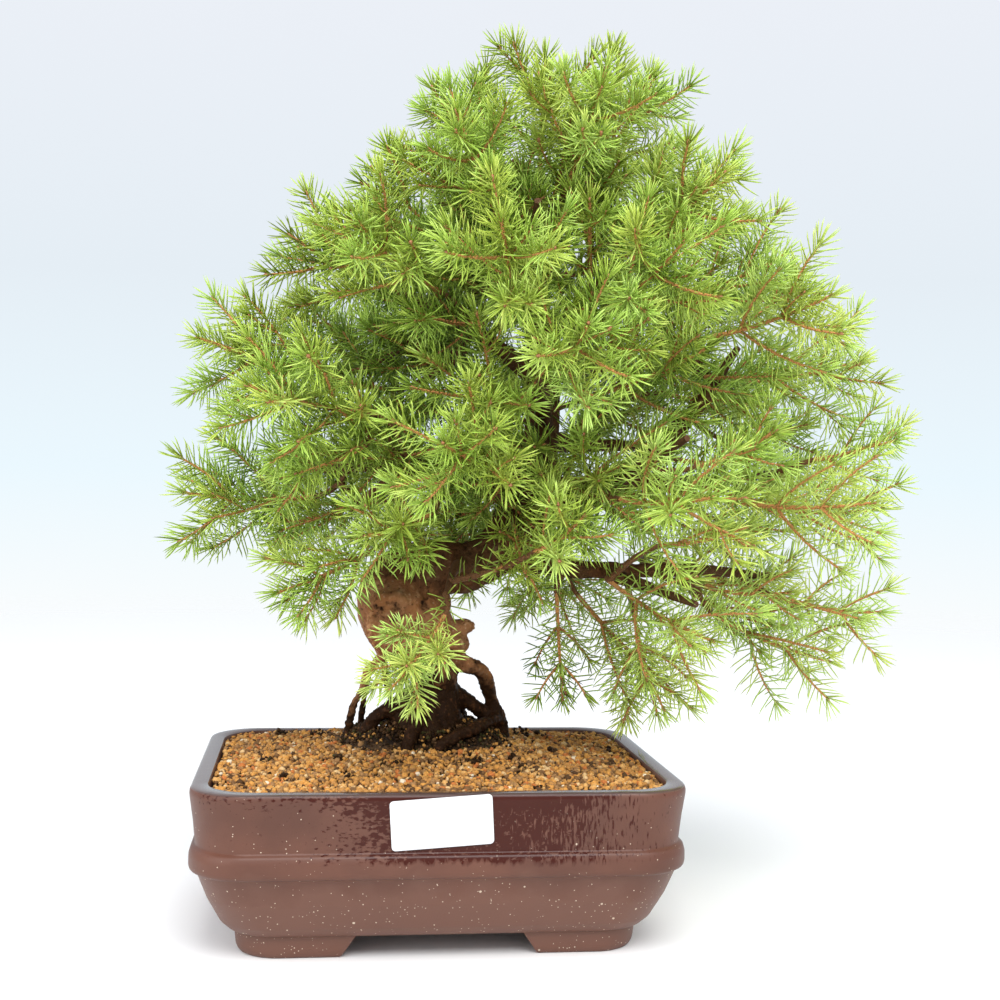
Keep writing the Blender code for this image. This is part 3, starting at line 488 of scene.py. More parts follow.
def bark_finish(wood):
    """Tan bark with fine pores, dark and wet at its foot and dark in the canopy's shade."""
    bark = Finish("fine_bark", 0.7)
    height = bark.axis("Z")
    # The ramp's dark end is painted shade in the bark's wrinkles, folds and hollow.
    colours = bark.ramp(bark.plus(bark.attribute("bark_tone_and_crease_shade"), bark.drift(3.4, 5, 0.27)), (
        (0.04, wood.dark_bark_and_shade), (0.42, wood.bark), (0.6, wood.bark), (0.95, wood.ridge),
    ))
    warm = bark.mix(bark.span(bark.cloud(16, 2), 0.4, 0.62), (1.0, 1.0, 1.0), (1.04, 0.9, 0.78))
    colours = bark.mix(1.0, colours, warm, "MULTIPLY")
    distance, values = bark.cells(2.3)
    pores = bark.span(distance, 0.34, 0.16)
    dark_pores = bark.times(pores, bark.sum("GREATER_THAN", values[0], 0.55))
    pale_pores = bark.times(pores, bark.sum("LESS_THAN", values[0], 0.16))
    colours = bark.mix(bark.times(dark_pores, 0.5), colours, wood.dark_bark_and_shade)
    colours = bark.mix(bark.times(pale_pores, 0.35), colours, (0.6, 0.42, 0.27))
    foot = foot_of(bark, height)
    # The canopy's shade starts lower on the right.
    slope = bark.plus(height, bark.times(bark.axis("X"), 0.3))
    shade = bark.span(bark.plus(slope, bark.drift(12, 3, 5)), 168, 179)
    dark = bark.sum("MAXIMUM", bark.times(foot, 0.97), bark.times(shade, 0.76))
    rust = bark.times(bark.span(bark.cloud(2.4, 4), 0.56, 0.66), 0.4)
    bark.paint(bark.mix(dark, colours, bark.mix(rust, wood.dark_bark_and_shade, (0.13, 0.05, 0.02))))
    bark.drive("Roughness", bark.span(foot, 0, 1, 0.72, 0.5))
    bark.drive("Specular IOR Level", bark.span(dark, 0, 1, 0.14, 0.05))
    bark.bump(bark.sum("SUBTRACT", bark.cloud(0.9, 4), bark.times(dark_pores, 0.5)), 0.6, 0.5)
    return bark.material


def twig_finish(wood):
    """Scaly bark: dark on limbs, partly as painted shade of the canopy, brown on twigs and orange on young
    shoots.
    """
    twig = Finish("twig_bark", 0.62, 0.12)
    scales = twig.span(twig.cloud(0.8, 3), 0.4, 0.65)
    # The limbs' colour is darker partly as painted shade of the canopy.
    shade_and_ages = ((0.1, wood.limb), (0.4, wood.bark), (0.9, wood.twig))
    aged = twig.ramp(twig.attribute("tone"), shade_and_ages)
    twig.paint(twig.mix(twig.times(scales, 0.5), aged, wood.dark_bark_and_shade))
    twig.bump(scales, -0.6, 0.3)
    return twig.material


def needle_finish(foliage):
    """Green from dark to fresh by each needle's tone, which holds painted shade deep in the canopy and
    painted light on its right, turned to olive in wide patches.
    """
    needle = Finish("spruce_needles", 0.45, 0.3)
    tone = needle.plus(needle.attribute("tone"), needle.drift(30, 2, 0.1))
    green = needle.ramp(tone, ((0.05, foliage.old_and_shaded), (0.42, foliage.middle), (0.85, foliage.bright)))
    olive = needle.mix(1.0, green, (1.1, 0.92, 0.78), "MULTIPLY")
    needle.paint(needle.mix(needle.span(needle.cloud(38, 2), 0.4, 0.62, 0, 0.9), green, olive))
    return needle.material


def bud_finish(wood):
    bud = Finish("brown_buds", 0.5)
    bud.paint(bud.mix(bud.cloud(1.2, 2), wood.bark, (0.5, 0.2, 0.08)))
    bud.bump(bud.cells(0.8)[0], -0.6, 0.3)
    return bud.material


def new_object(name, data):
    made = bpy.data.objects.new(name, data)
    bpy.context.scene.collection.objects.link(made)
    return made


def as_mesh(name, bm):
    mesh = bpy.data.meshes.new(name)
    bm.to_mesh(mesh)
    bm.free()
    return mesh


@contextmanager
def editing(mesh):
    """The mesh opened for bmesh work, and written back at the end."""
    bm = bmesh.new()
    bm.from_mesh(mesh)
    yield bm
    bm.to_mesh(mesh)
    bm.free()


def from_bmesh(name, bm):
    """A new object of a closed mesh whose faces look outwards."""
    bmesh.ops.recalc_face_normals(bm, faces=bm.faces)
    if bm.calc_volume(signed=True) < 0:
        bmesh.ops.reverse_faces(bm, faces=bm.faces)
    return new_object(name, as_mesh(name, bm))


def evaluated_mesh(made):
    return bpy.data.meshes.new_from_object(made.evaluated_get(bpy.context.evaluated_depsgraph_get()))


def applied(made):
    """The object with its modifiers worked into a mesh of its own."""
    result = evaluated_mesh(made)
    made.modifiers.clear()
    made.data = result
    return made


def set_tone(mesh, tones):
    layer = mesh.attributes.new("tone", "FLOAT", "POINT")
    layer.data.foreach_set("value", np.broadcast_to(tones, len(mesh.vertices)).astype(np.float32))


def steep_edges(bm, degrees):
    return [edge for edge in bm.edges if edge.is_manifold and edge.calc_face_angle() > math.radians(degrees)]


def round_off(bm, geom, offset, segments, affect="EDGES"):
    bmesh.ops.bevel(bm, geom=geom, affect=affect, offset=offset, segments=segments, profile=0.5,
                    material=-1)


def combine(base, tools, operation):
    for tool in tools:
        step = base.modifiers.new("Boolean", "BOOLEAN")
        step.operation = operation
        step.object = tool
        step.solver = "EXACT"
        applied(base)
        bpy.data.objects.remove(tool)


def finish(piece, material, nodes=(), smooth_angle=None):
    """Put a piece modelled in millimetres into the frame, with its finish and its solid."""
    piece.data.transform(TO_FRAME)
    piece.data.materials.clear()
    piece.data.materials.append(material)
    if smooth_angle:
        piece.data.shade_smooth()
        piece.data.set_sharp_from_angle(angle=math.radians(smooth_angle))
    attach(piece, "root")
    if nodes:
        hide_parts(*nodes)


def extrude_through(bm, face, steps):
    """Extrude a face by one matrix after another; the first face stays as the cap."""
    for step in steps:
        inside = any(len(edge.link_faces) > 1 for edge in face.edges)
        made = bmesh.ops.extrude_face_region(bm, geom=[face])["geom"]
        if inside:
            bmesh.ops.delete(bm, geom=[face], context="FACES_ONLY")
        face = next(item for item in made if isinstance(item, bmesh.types.BMFace))
        bmesh.ops.transform(bm, matrix=step, verts=face.verts)


def rounded_face(bm, width, depth, corner, height, segments):
    bmesh.ops.create_grid(bm, x_segments=1, y_segments=1, size=0.5)
    shape = Matrix.Translation((0, 0, height)) @ Matrix.Diagonal((width, depth, 1, 1))
    bmesh.ops.transform(bm, matrix=shape, verts=bm.verts)
    round_off(bm, bm.verts[:], corner, segments, "VERTICES")
    return next(iter(bm.faces))


def softened(profile, radius):
    """A profile whose corners are cut back by the radius and bowed."""
    soft = [profile[0]]
    for before, here, after in zip(profile, profile[1:], profile[2:]):
        before, here, after = Vector(before), Vector(here), Vector(after)
        start = here.lerp(before, min(0.45, radius / (before - here).length))
        end = here.lerp(after, min(0.45, radius / (after - here).length))
        soft += [start, (start + 2 * here + end) / 4, end]
    return soft + [profile[-1]]


def loft_block(name, profile, corner, segments):
    """A block whose outline shrinks by the profile's inset at each of its heights."""
    inset, height = profile[0]
    bm = bmesh.new()
    face = rounded_face(bm, POT_WIDTH - 2 * inset, POT_DEPTH - 2 * inset, corner, height, segments)
    steps = []
    for (inset, height), (next_inset, next_height) in zip(profile, profile[1:]):
        grow_x = (POT_WIDTH - 2 * next_inset) / (POT_WIDTH - 2 * inset)
        grow_y = (POT_DEPTH - 2 * next_inset) / (POT_DEPTH - 2 * inset)
        steps.append(Matrix.Translation((0, 0, next_height))
                     @ Matrix.Diagonal((grow_x, grow_y, 1, 1))
                     @ Matrix.Translation((0, 0, -height)))
    extrude_through(bm, face, steps)
    return from_bmesh(name, bm)


def block(name, width, depth, low, high, top_width):
    """A block on the Z axis whose X sides slope to the top width."""
    bm = bmesh.new()
    bmesh.ops.create_cube(bm, size=1)
    shape = Matrix.Translation((0, 0, (low + high) / 2)) @ Matrix.Diagonal((width, depth, high - low, 1))
    bmesh.ops.transform(bm, matrix=shape, verts=bm.verts)
    top = [vert for vert in bm.verts if vert.co.z > (low + high) / 2]
    bmesh.ops.scale(bm, vec=(top_width / width, 1, 1), verts=top)
    return from_bmesh(name, bm)


def foot_gap(name, widths, length):
    wide, narrow = widths
    slope = (wide - narrow) / FOOT_HEIGHT
    return block(name, wide + slope * CUT_BELOW, length, -CUT_BELOW, FOOT_HEIGHT + CUT_ABOVE,
                 narrow - slope * CUT_ABOVE)


def make_pot(pot):
    body = loft_block("pot_body", softened(OUTER_WALL, 0.9) + softened(INNER_WALL, 1.5), BASE_CORNER,
                      pot.corner_segments)
    feet = loft_block("feet", softened(FEET_WALL, 1.2), FOOT_CORNER, pot.corner_segments)
    front_gap = foot_gap("front gap", FOOT_GAP_FRONT, POT_DEPTH)
    side_gap = foot_gap("side gap", FOOT_GAP_SIDE, POT_WIDTH)
    side_gap.data.transform(Matrix.Rotation(math.radians(90), 4, "Z"))
    wide = POT_WIDTH - 2 * FEET_HOLLOW
    pocket = block("pocket", wide, POT_DEPTH - 2 * FEET_HOLLOW, -CUT_BELOW, FOOT_HEIGHT + CUT_ABOVE, wide)
    combine(feet, [front_gap, side_gap, pocket], "DIFFERENCE")
    with editing(feet.data) as bm:
        bmesh.ops.remove_doubles(bm, verts=bm.verts, dist=0.01)
        round_off(bm, steep_edges(bm, 40), 1.1, 3)
    combine(body, [feet], "UNION")
    drains = []
    for place in DRAIN_PLACES:
        bm = bmesh.new()
        bmesh.ops.create_cone(bm, cap_ends=True, segments=32, radius1=DRAIN_RADIUS, radius2=DRAIN_RADIUS,
                              depth=POT_HEIGHT, matrix=Matrix.Translation((place, 0, 0)))
        drains.append(from_bmesh("drain", bm))
    combine(body, drains, "DIFFERENCE")
    finish(body, clay_finish(pot), ["pot"], smooth_angle=38)


def make_label():
    """A blank card on the front band, with rounded corners and a soft edge."""
    width, height, thick = LABEL_SIZE
    bm = bmesh.new()
    face = rounded_face(bm, width, height, 2.0, 0, 8)
    extrude_through(bm, face, [Matrix.Translation((0, 0, thick))])
    round_off(bm, steep_edges(bm, 57.3), 0.1, 2)
    band_top, band_low = POT_HEIGHT - 2.4, 57.0
    lean = math.atan2(2.9, band_top - band_low)
    middle = Vector((LABEL_CENTRE_X, -POT_DEPTH / 2 + 1.55, (band_top + band_low) / 2))
    outward = Vector((0, -math.cos(lean), -math.sin(lean)))
    rise = Vector((0, -math.sin(lean), math.cos(lean)))
    place = (Matrix.Translation(middle + outward * 0.3 + rise * LABEL_RISE)
             @ Matrix.Rotation(math.radians(90) + lean, 4, "X")
             @ Matrix.Rotation(math.radians(LABEL_TILT), 4, "Z"))
    bmesh.ops.transform(bm, matrix=place, verts=bm.verts)
    finish(from_bmesh("label_card", bm), card_finish(), ["label"], smooth_angle=30)


def mound_height(x, y):
    off = math.hypot(x - MOUND_CENTRE[0], y - MOUND_CENTRE[1]) / MOUND_REACH
    waves = 0.7 * math.sin(x / 13 + 1) * math.cos(y / 11) + 0.4 * math.sin((x + 2 * y) / 7)
    return SOIL_EDGE + SOIL_MOUND * math.exp(-off * off) + waves * SOIL_UNEVENNESS


def ball_height(x, y):
    """The root ball's height, or zero beside it."""
    out = ((x - BALL_CENTRE[0]) / BALL_RADII[0]) ** 2 + ((y - BALL_CENTRE[1]) / BALL_RADII[1]) ** 2
    return BALL_CENTRE[2] + BALL_RADII[2] * math.sqrt(1 - out) if out < 1 else 0


def ground(x, y):
    return max(mound_height(x, y), ball_height(x, y))


def make_soil_bed(soil):
    """The soil's fine surface, under the grit."""
    wall = [(29.3, 20.3), (24.3, 25), (11.3, 48), (SOIL_INSET, SOIL_EDGE - 1.6)]
    tops = [(SOIL_INSET + step, SOIL_EDGE) for step in range(1, 88, 3)]
    bed = loft_block("soil_bed", wall + tops, SOIL_CORNER, 6)
    for vert in bed.data.vertices:
        if vert.co.z > SOIL_EDGE - 0.6:
            vert.co.z = ground(vert.co.x, vert.co.y) - 0.5 + 0.5 * noise.noise(vert.co / 4)
    finish(bed, bed_finish(soil), ["soil"], smooth_angle=60)


def template(bm):
    """A small mesh as its points and triangles, for copying many times."""
    bmesh.ops.triangulate(bm, faces=bm.faces[:])
    bm.verts.index_update()
    points = np.array([vert.co[:] for vert in bm.verts])
    corners = np.array([[vert.index for vert in face.verts] for face in bm.faces])
    bm.free()
    return points, corners


def stone_template(seed):
    """An angular stone with twenty faces."""
    draw = random.Random(seed)
    bm = bmesh.new()
    bmesh.ops.create_icosphere(bm, subdivisions=1, radius=1)
    for vert in bm.verts:
        vert.co *= draw.uniform(0.78, 1.2)
    return template(bm)


def needle_template():
    """A needle one long and one wide, with three sides and a pointed end."""
    bm = bmesh.new()
    bmesh.ops.create_cone(bm, cap_ends=True, segments=3, radius1=0.42, radius2=0.42, depth=0.78,
                          matrix=Matrix.Translation((0, 0, 0.39)))
    end = [face for face in bm.faces if face.normal.z > 0.9]
    bmesh.ops.poke(bm, faces=end)["verts"][0].co.z = 1
    return template(bm)


def copies(name, shape, origins, axes, tones):
    """One mesh of many copies of a shape; each copy has an origin, its axes and a tone."""
    points, corners = shape
    terms = points if axes.shape[1] == 3 else np.column_stack((points, points[:, 2] ** 2))
    places = origins[:, None, :] + np.einsum("kt,ntc->nkc", terms, axes)
    count, each = len(origins), len(points)
    triangles = corners[None] + (np.arange(count) * each)[:, None, None]
    mesh = bpy.data.meshes.new(name)
    mesh.vertices.add(count * each)
    mesh.vertices.foreach_set("co", places.astype(np.float32).ravel())
    mesh.loops.add(triangles.size)
    mesh.loops.foreach_set("vertex_index", triangles.astype(np.int32).ravel())
    mesh.polygons.add(triangles.size // 3)
    mesh.polygons.foreach_set("loop_start", np.arange(0, triangles.size, 3, dtype=np.int32))
    mesh.update(calc_edges=True)
    set_tone(mesh, np.repeat(tones, each))
    return mesh


def join_meshes(name, meshes):
    bm = bmesh.new()
    for mesh in meshes:
        bm.from_mesh(mesh)
        bpy.data.meshes.remove(mesh)
    return new_object(name, as_mesh(name, bm))


def turned_axes(draw, sizes):
    """Random directions for stones, with a size along each of their axes."""
    count = len(sizes)
    first = draw.normal(size=(count, 3))
    first /= np.linalg.norm(first, axis=1)[:, None]
    second = np.cross(first, draw.normal(size=(count, 3)))
    second /= np.linalg.norm(second, axis=1)[:, None]
    axes = np.stack((first, second, np.cross(first, second)), 1)
    return axes * sizes[:, :, None]


def inside_rim(x, y, margin):
    half_x = POT_WIDTH / 2 - SOIL_INSET - margin
    half_y = POT_DEPTH / 2 - SOIL_INSET - margin
    over_x = max(abs(x) - half_x + SOIL_CORNER - 2, 0)
    over_y = max(abs(y) - half_y + SOIL_CORNER - 2, 0)
    return math.hypot(over_x, over_y) < SOIL_CORNER - 2


def scatter_stones(name, spots, sizes, tones, draw, material, slot):
    """Stones of six shapes at the spots."""
    spots, tones = np.array(spots), np.array(tones)
    axes = turned_axes(draw, np.array(sizes)[:, None] * draw.uniform(0.6, 1.3, (len(spots), 3)))
    meshes = []
    for kind in range(6):
        mine = slice(kind, None, 6)
        meshes.append(copies(name, stone_template(kind), spots[mine], axes[mine], tones[mine]))
    finish(join_meshes(name, meshes), material)


def plan_grains(pitch, draw):
    """Places, sizes and tones of the grains on the mound and of the crumbs round the root ball."""
    grains, crumbs = ([], [], []), ([], [], [])
    for row in range(int(POT_DEPTH / pitch / 0.87)):
        for column in range(int(POT_WIDTH / pitch)):
            x = (column + 0.5 * (row % 2)) * pitch - POT_WIDTH / 2 + draw.uniform(-0.8, 0.8)
            y = row * pitch * 0.87 - POT_DEPTH / 2 + draw.uniform(-0.8, 0.8)
            if not inside_rim(x, y, pitch * 0.35) or math.hypot(x, y - 26) < 19:
                continue
            above = ball_height(x, y) - mound_height(x, y)
            wet = noise.noise(Vector((x / 16, y / 16, 3)))
            dark = above > draw.uniform(-3.5, 2.5) if above > -20 else False
            size = (0.36 + 0.5 * draw.uniform() ** 2) * pitch * (0.7 if dark else 1.0)
            tone = draw.uniform() * (0.62 if wet > 0.26 or above > -5 else 1.0)
            place = (x, y, ground(x, y) + draw.uniform(-0.5, 0.6))
            keep(crumbs if dark else grains, place, size, draw.uniform() if dark else tone)
    return grains, crumbs


def keep(stones, place, size, tone):
    for values, value in zip(stones, (place, size, tone)):
        values.append(value)


def add_crumbs(crumbs, draw):
    """Crumbs all over the root ball, and the dark lumps on the grit."""
    for _ in range(BALL_CRUMBS):
        turn, out = draw.uniform(0, math.tau), math.sqrt(draw.uniform(0, 1.1))
        x = BALL_CENTRE[0] + BALL_RADII[0] * out * math.cos(turn)
        y = BALL_CENTRE[1] + BALL_RADII[1] * out * math.sin(turn)
        place = (x, y, ground(x, y) + draw.uniform(-0.6, 0.9))
        keep(crumbs, place, draw.uniform(0.4, 1.3), draw.uniform())
    for x, y, reach, count in DARK_LUMPS:
        for _ in range(count):
            near = draw.normal(size=3) * reach / 2.2
            place = (x + near[0], y + near[1], ground(x, y) + 0.6 + abs(near[2]) * 0.45)
            keep(crumbs, place, draw.uniform(0.6, 1.5), draw.uniform(0, 0.76))


def make_grit(soil):
    """Grains over the mound, and dark crumbs on the root ball and in lumps."""
    draw = np.random.default_rng(11)
    grains, crumbs = plan_grains(soil.grain / MM, draw)
    grit = grit_finish()
    for name, back in (("grit_front", False), ("grit_back", True)):
        half = [index for index, spot in enumerate(grains[0]) if (spot[1] > 0) == back]
        chosen = [[values[index] for index in half] for values in grains]
        scatter_stones(name, *chosen, draw, grit, "grit")
    add_crumbs(crumbs, draw)
    scatter_stones("dark_crumbs", *crumbs, draw, crumb_finish(), "grit")


BALL_CRUMBS = 1900
# Lumps of dark, wet matter on the grit: place, reach and number of crumbs.
DARK_LUMPS = (
    (-50.6, -16.5, 4.5, 16), (20.2, -27, 5.5, 26), (-90, -3.5, 2.6, 6), (-82, 75, 7, 18),
    (-60, 62, 7, 18), (-46, -52, 3.5, 8), (-79, -44, 3, 6), (-87, -37, 2.4, 4), (45, -16, 3.5, 10),
    (45, -38, 4, 8), (60, 59, 9, 22), (47.5, -74, 3, 6), (104, 22, 3, 5), (-20, -30, 3, 5),
    (70, 10, 4, 8), (86, -30, 3, 4),
)


def smooth_path(points, steps):
    """Points and radii on a smooth curve through the given ones, steps of them to each span."""
    rows = [np.array(row, float) for row in points]
    rows = [2 * rows[0] - rows[1]] + rows + [2 * rows[-1] - rows[-2]]
    path = []
    for a, b, c, d in zip(rows, rows[1:], rows[2:], rows[3:]):
        for step in range(steps):
            t = step / steps
            path.append(0.5 * (2 * b + (c - a) * t + (2 * a - 5 * b + 4 * c - d) * t * t
                               + (3 * b - a - 3 * c + d) * t ** 3))
    path.append(rows[-2])
    return [(Vector(row[:3]), float(row[3])) for row in path]


def bent_path(start, control, end, radii, steps):
    """Points and radii on a bow from start to end that leans towards the control point."""
    path = []
    for step in range(steps + 1):
        t = step / steps
        point = start * (1 - t) ** 2 + control * 2 * t * (1 - t) + end * t * t
        path.append((point, radii[0] + (radii[1] - radii[0]) * t))
    return path


def rods(name, paths, resolution):
    """Round rods along paths of points and radii, with closed ends."""
    curve = bpy.data.curves.new(name, "CURVE")
    curve.dimensions = "3D"
    curve.bevel_depth = 1
    curve.bevel_resolution = resolution
    curve.use_fill_caps = True
    for path in paths:
        line = curve.splines.new("POLY")
        line.points.add(len(path) - 1)
        for mark, (point, radius) in zip(line.points, path):
            mark.co = (*point, 1)
            mark.radius = radius
    holder = new_object(name, curve)
    mesh = evaluated_mesh(holder)
    bpy.data.objects.remove(holder)
    with editing(mesh) as bm:
        bmesh.ops.remove_doubles(bm, verts=bm.verts, dist=0.002)
    return mesh


def oval_distance(point, centre, half_sizes):
    """Distance from a mark on the trunk's front, as a share of its half sizes."""
    return math.hypot((point.x - centre[0]) / half_sizes[0], (point.z - centre[2]) / half_sizes[1])


def bark_height(point, depth):
    """How far the bark stands out at a point, and how light it is there."""
    # Wide lumps, wrinkles that run across the trunk, and fine grain. The lightness is random tone, darkened
    # in the wrinkles as painted shade.
    near = point + noise.noise_vector(point / 13) * 5
    lump = noise.fractal(point / 12, 1.0, 2.0, 3)
    wrinkle = 1 - abs(noise.noise(Vector((near.x / 5.5, near.y / 5.5, near.z / 2.6)))) * 2.2
    fine = noise.noise(point / 1.8)
    height = lump * 0.9 + fine * 0.25 - max(0.0, wrinkle - 0.55) * depth
    light = 0.55 + lump * 0.22 + fine * 0.2 - max(0.0, wrinkle - 0.6) * 0.35
    # On the front, the scar has a raised lip, folds inside it and a fold under it. Its sunken middle is
    # darker, and the fold under it is darkened as painted shade.
    if point.y < 12:
        worn = noise.noise(point / 5) * 0.24 + noise.noise(point / 1.9) * 0.05
        off = oval_distance(point, *SCAR) + worn
        if off < 1.8:
            swirl = math.sin(off * 11 + worn * 6 + (point.z - SCAR[0][2]) * 0.25)
            fade = max(0.0, 1 - off / 1.3)
            lip = math.exp(-((off - 0.95) / 0.22) ** 2)
            height += 1.4 * lip - 1.2 * fade + swirl * 0.7 * fade
            light += (swirl * 0.1 - 0.2) * min(1.0, 2 * fade) - 0.05 * lip
            fold = math.exp(-((off - 1.22) / 0.16) ** 2) * min(1, max(0, (SCAR[0][2] + 2 - point.z) / 4))
            height -= 1.7 * fold
            light -= 0.16 * fold
        # The hollow beside the scar is sunk and darkened as painted shade.
        hole = min(1.0, max(0.0, 1.3 - oval_distance(point, *HOLLOW) - 1.6 * worn))
        height -= 2.6 * hole * hole
        light -= 0.24 * hole
    # The foot is crumbly.
    if point.z < 118:
        height += noise.fractal(point / 3.2, 1.0, 2.0, 3) * 0.8 * min(1.0, (118 - point.z) / 12)
    return height, light


def limb_parts(limb):
    """A limb's thick part, which grows out of the trunk's skin, and its thin rest."""
    path = smooth_path(limb, 6)
    thick = sum(radius > SKIN_RADIUS for _, radius in path)
    return path[:thick + 1], path[max(thick - 1, 0):]


def trunk_skin(grain):
    """Trunk, roots, limbs and lobes grown together into one skin."""
    paths = [smooth_path(TRUNK, 8)] + [smooth_path(root, 6) for root in ROOTS]
    paths += [thick for thick, _ in map(limb_parts, LIMBS) if len(thick) > 1]
    meshes = [rods("wood", paths, 6)]
    for centre, radii in LOBES:
        bm = bmesh.new()
        place = Matrix.Translation(centre) @ Matrix.Diagonal((*radii, 1))
        bmesh.ops.create_icosphere(bm, subdivisions=3, radius=1, matrix=place)
        meshes.append(as_mesh("lobe", bm))
    trunk = join_meshes("trunk_bark", meshes)
    skin = trunk.modifiers.new("Skin", "REMESH")
    skin.mode = "VOXEL"
    skin.voxel_size = grain
    return applied(trunk)


def cut_below(bm, height):
    """Cut the skin off inside the soil, and close it again."""
    bmesh.ops.delete(bm, geom=[vert for vert in bm.verts if vert.co.z < height], context="VERTS")
    bmesh.ops.delete(bm, geom=[edge for edge in bm.edges if edge.is_wire], context="EDGES")
    bmesh.ops.holes_fill(bm, edges=[edge for edge in bm.edges if edge.is_boundary], sides=0)


def carve(bm, depth):
    """Move the skin by the bark's height, less on thin limbs, and note how light it is, with painted shade
    in its wrinkles and folds.
    """
    bm.normal_update()
    bark_tone_and_crease_shade = bm.verts.layers.float.new("bark_tone_and_crease_shade")
    noise.seed_set(BARK_SEED)
    carved = []
    for vert in bm.verts:
        height, vert[bark_tone_and_crease_shade] = bark_height(vert.co, depth)
        thin = min(1.0, max(0.35, (260 - vert.co.z) / 60)) if vert.co.z > 200 else 1.0
        carved.append(vert.co + vert.normal * height * thin)
    for vert, place in zip(bm.verts, carved):
        vert.co = place


def make_trunk(wood):
    trunk = trunk_skin(wood.bark_grain / MM)
    with editing(trunk.data) as bm:
        cut_below(bm, TRUNK_CUT)
        for _ in range(4):
            bmesh.ops.smooth_vert(bm, verts=bm.verts, factor=0.5, use_axis_x=True, use_axis_y=True,
                                  use_axis_z=True)
        carve(bm, wood.bark_depth / MM)
    finish(trunk, bark_finish(wood), ["trunk"], smooth_angle=75)


def canopy_radius(angle):
    step = 360 / len(CANOPY_RADII)
    place = (angle % 360) / step
    low = int(place)
    part = place - low
    after = CANOPY_RADII[(low + 1) % len(CANOPY_RADII)]
    return CANOPY_RADII[low % len(CANOPY_RADII)] * (1 - part) + after * part


def canopy_point(angle, depth_angle):
    turn, depth = math.radians(angle), math.radians(depth_angle)
    reach = canopy_radius(angle) * math.cos(depth)
    return Vector(CANOPY_CENTRE) + Vector((reach * math.cos(turn), CANOPY_HALF_DEPTH * math.sin(depth),
                                           reach * math.sin(turn)))


def canopy_spray(angle, depth_angle, share, length):
    """Start and tip of a leader in the canopy, and its side shoots' length."""
    place = Vector(CANOPY_CENTRE).lerp(canopy_point(angle, depth_angle), share)
    outward = way_out(place)
    tip = place - outward * TIP_INSET
    return tip - outward * SPRAY_LENGTH, tip, length


def way_out(place):
    """The direction in which a spray at a place points: away from a line up the tree."""
    above = place.z - SOURCE[2]
    share = SOURCE_SHARE_ABOVE if above > 0 else SOURCE_SHARE_BELOW
    return (place - Vector(SOURCE) - UP * above * share).normalized()


def plan_sprays():
    """Start and tip of each spray's leader, and its side shoots' length."""
    rings = [canopy_spray(first + index * step, depth_angle, 1, SIDE_LENGTH)
             for depth_angle, first, step, count in SPRAY_RINGS for index in range(count)]
    low = [(Vector(start), Vector(tip), length) for start, tip, length in LOW_SPRAYS]
    return rings + low + [canopy_spray(*place, INNER_SIDE_LENGTH) for place in INNER_SPRAYS]


def leader_path(start, tip, steps=6):
    """A spray's middle twig, which sags and turns up again towards its tip."""
    control = (start + tip) / 2 - UP * LEADER_SAG
    return bent_path(start, control, tip, LEADER_RADIUS, steps)


def at_place(path, place):
    span = min(int(place * (len(path) - 1)), len(path) - 2)
    part = place * (len(path) - 1) - span
    return path[span][0].lerp(path[span + 1][0], part)


def way_of(path):
    return (path[-1][0] - path[0][0]).normalized()


def spray_axes(leader, number):
    """A spray's directions: ahead, to its side and over it, each spray rolled by its number."""
    along = way_of(leader)
    flat = along.cross(UP)
    if flat.length < 0.3:
        flat = Vector((1, 0, 0)) - along * along.x
    flat = Matrix.Rotation(math.radians(number * SPRAY_ROLL), 3, along) @ flat.normalized()
    return along, flat, flat.cross(along)


def shoot(foot, along, outward, spread, length, radii, steps=4):
    """A shoot that leaves its parent at the spread angle and bends towards its direction."""
    wide, narrow = math.radians(spread), math.radians(spread * 0.6)
    control = foot + (along * math.cos(wide) + outward * math.sin(wide)) * length * 0.5
    end = control + (along * math.cos(narrow) + outward * math.sin(narrow)) * length * 0.5
    return bent_path(foot, control, end, radii, steps)


def side_paths(leader, number, full_length):
    """The main side shoots of a spray, spread round its leader."""
    draw = random.Random(number)
    along, flat, _ = spray_axes(leader, number)
    made = []
    for place, turn in SIDE_SHOOTS:
        outward = Matrix.Rotation(math.radians(turn + draw.uniform(-15, 15)), 3, along) @ flat
        length = full_length * (1.1 - 0.4 * place) * draw.uniform(0.92, 1.08)
        made.append(shoot(at_place(leader, place), along, outward, SIDE_SPREAD, length, SIDE_RADIUS))
    return made


def extra_paths(leader, sides, number, count):
    """Shorter shoots round the leader, and one on each second main side shoot."""
    draw = random.Random(number + 500)
    along, flat, over = spray_axes(leader, number)
    made = []
    for index in range(count):
        place = 0.4 + 0.52 * (index + draw.uniform(0.2, 0.8)) / count
        turn = index * GOLDEN_TURN + draw.uniform(-0.4, 0.4)
        outward = flat * math.cos(turn) + over * math.sin(turn)
        length = 30 * (1.08 - 0.5 * place) * draw.uniform(0.85, 1.15)
        made.append(shoot(at_place(leader, place), along, outward, draw.uniform(44, 60), length,
                          (0.8, 0.5)))
    for index, side in enumerate(sides[::2] if count else ()):
        way, full_length = way_of(side), (side[-1][0] - side[0][0]).length
        across = way.cross(along).normalized() * (-1) ** index
        outward = (across + along * draw.uniform(-0.2, 0.6)).normalized()
        foot = at_place(side, draw.uniform(0.35, 0.62))
        spread, length = draw.uniform(40, 54), draw.uniform(0.34, 0.48) * full_length
        made.append(shoot(foot, way, outward, spread, length, (0.6, 0.45), 3))
    return made


def unit(rows):
    return rows / np.linalg.norm(rows, axis=1)[:, None]


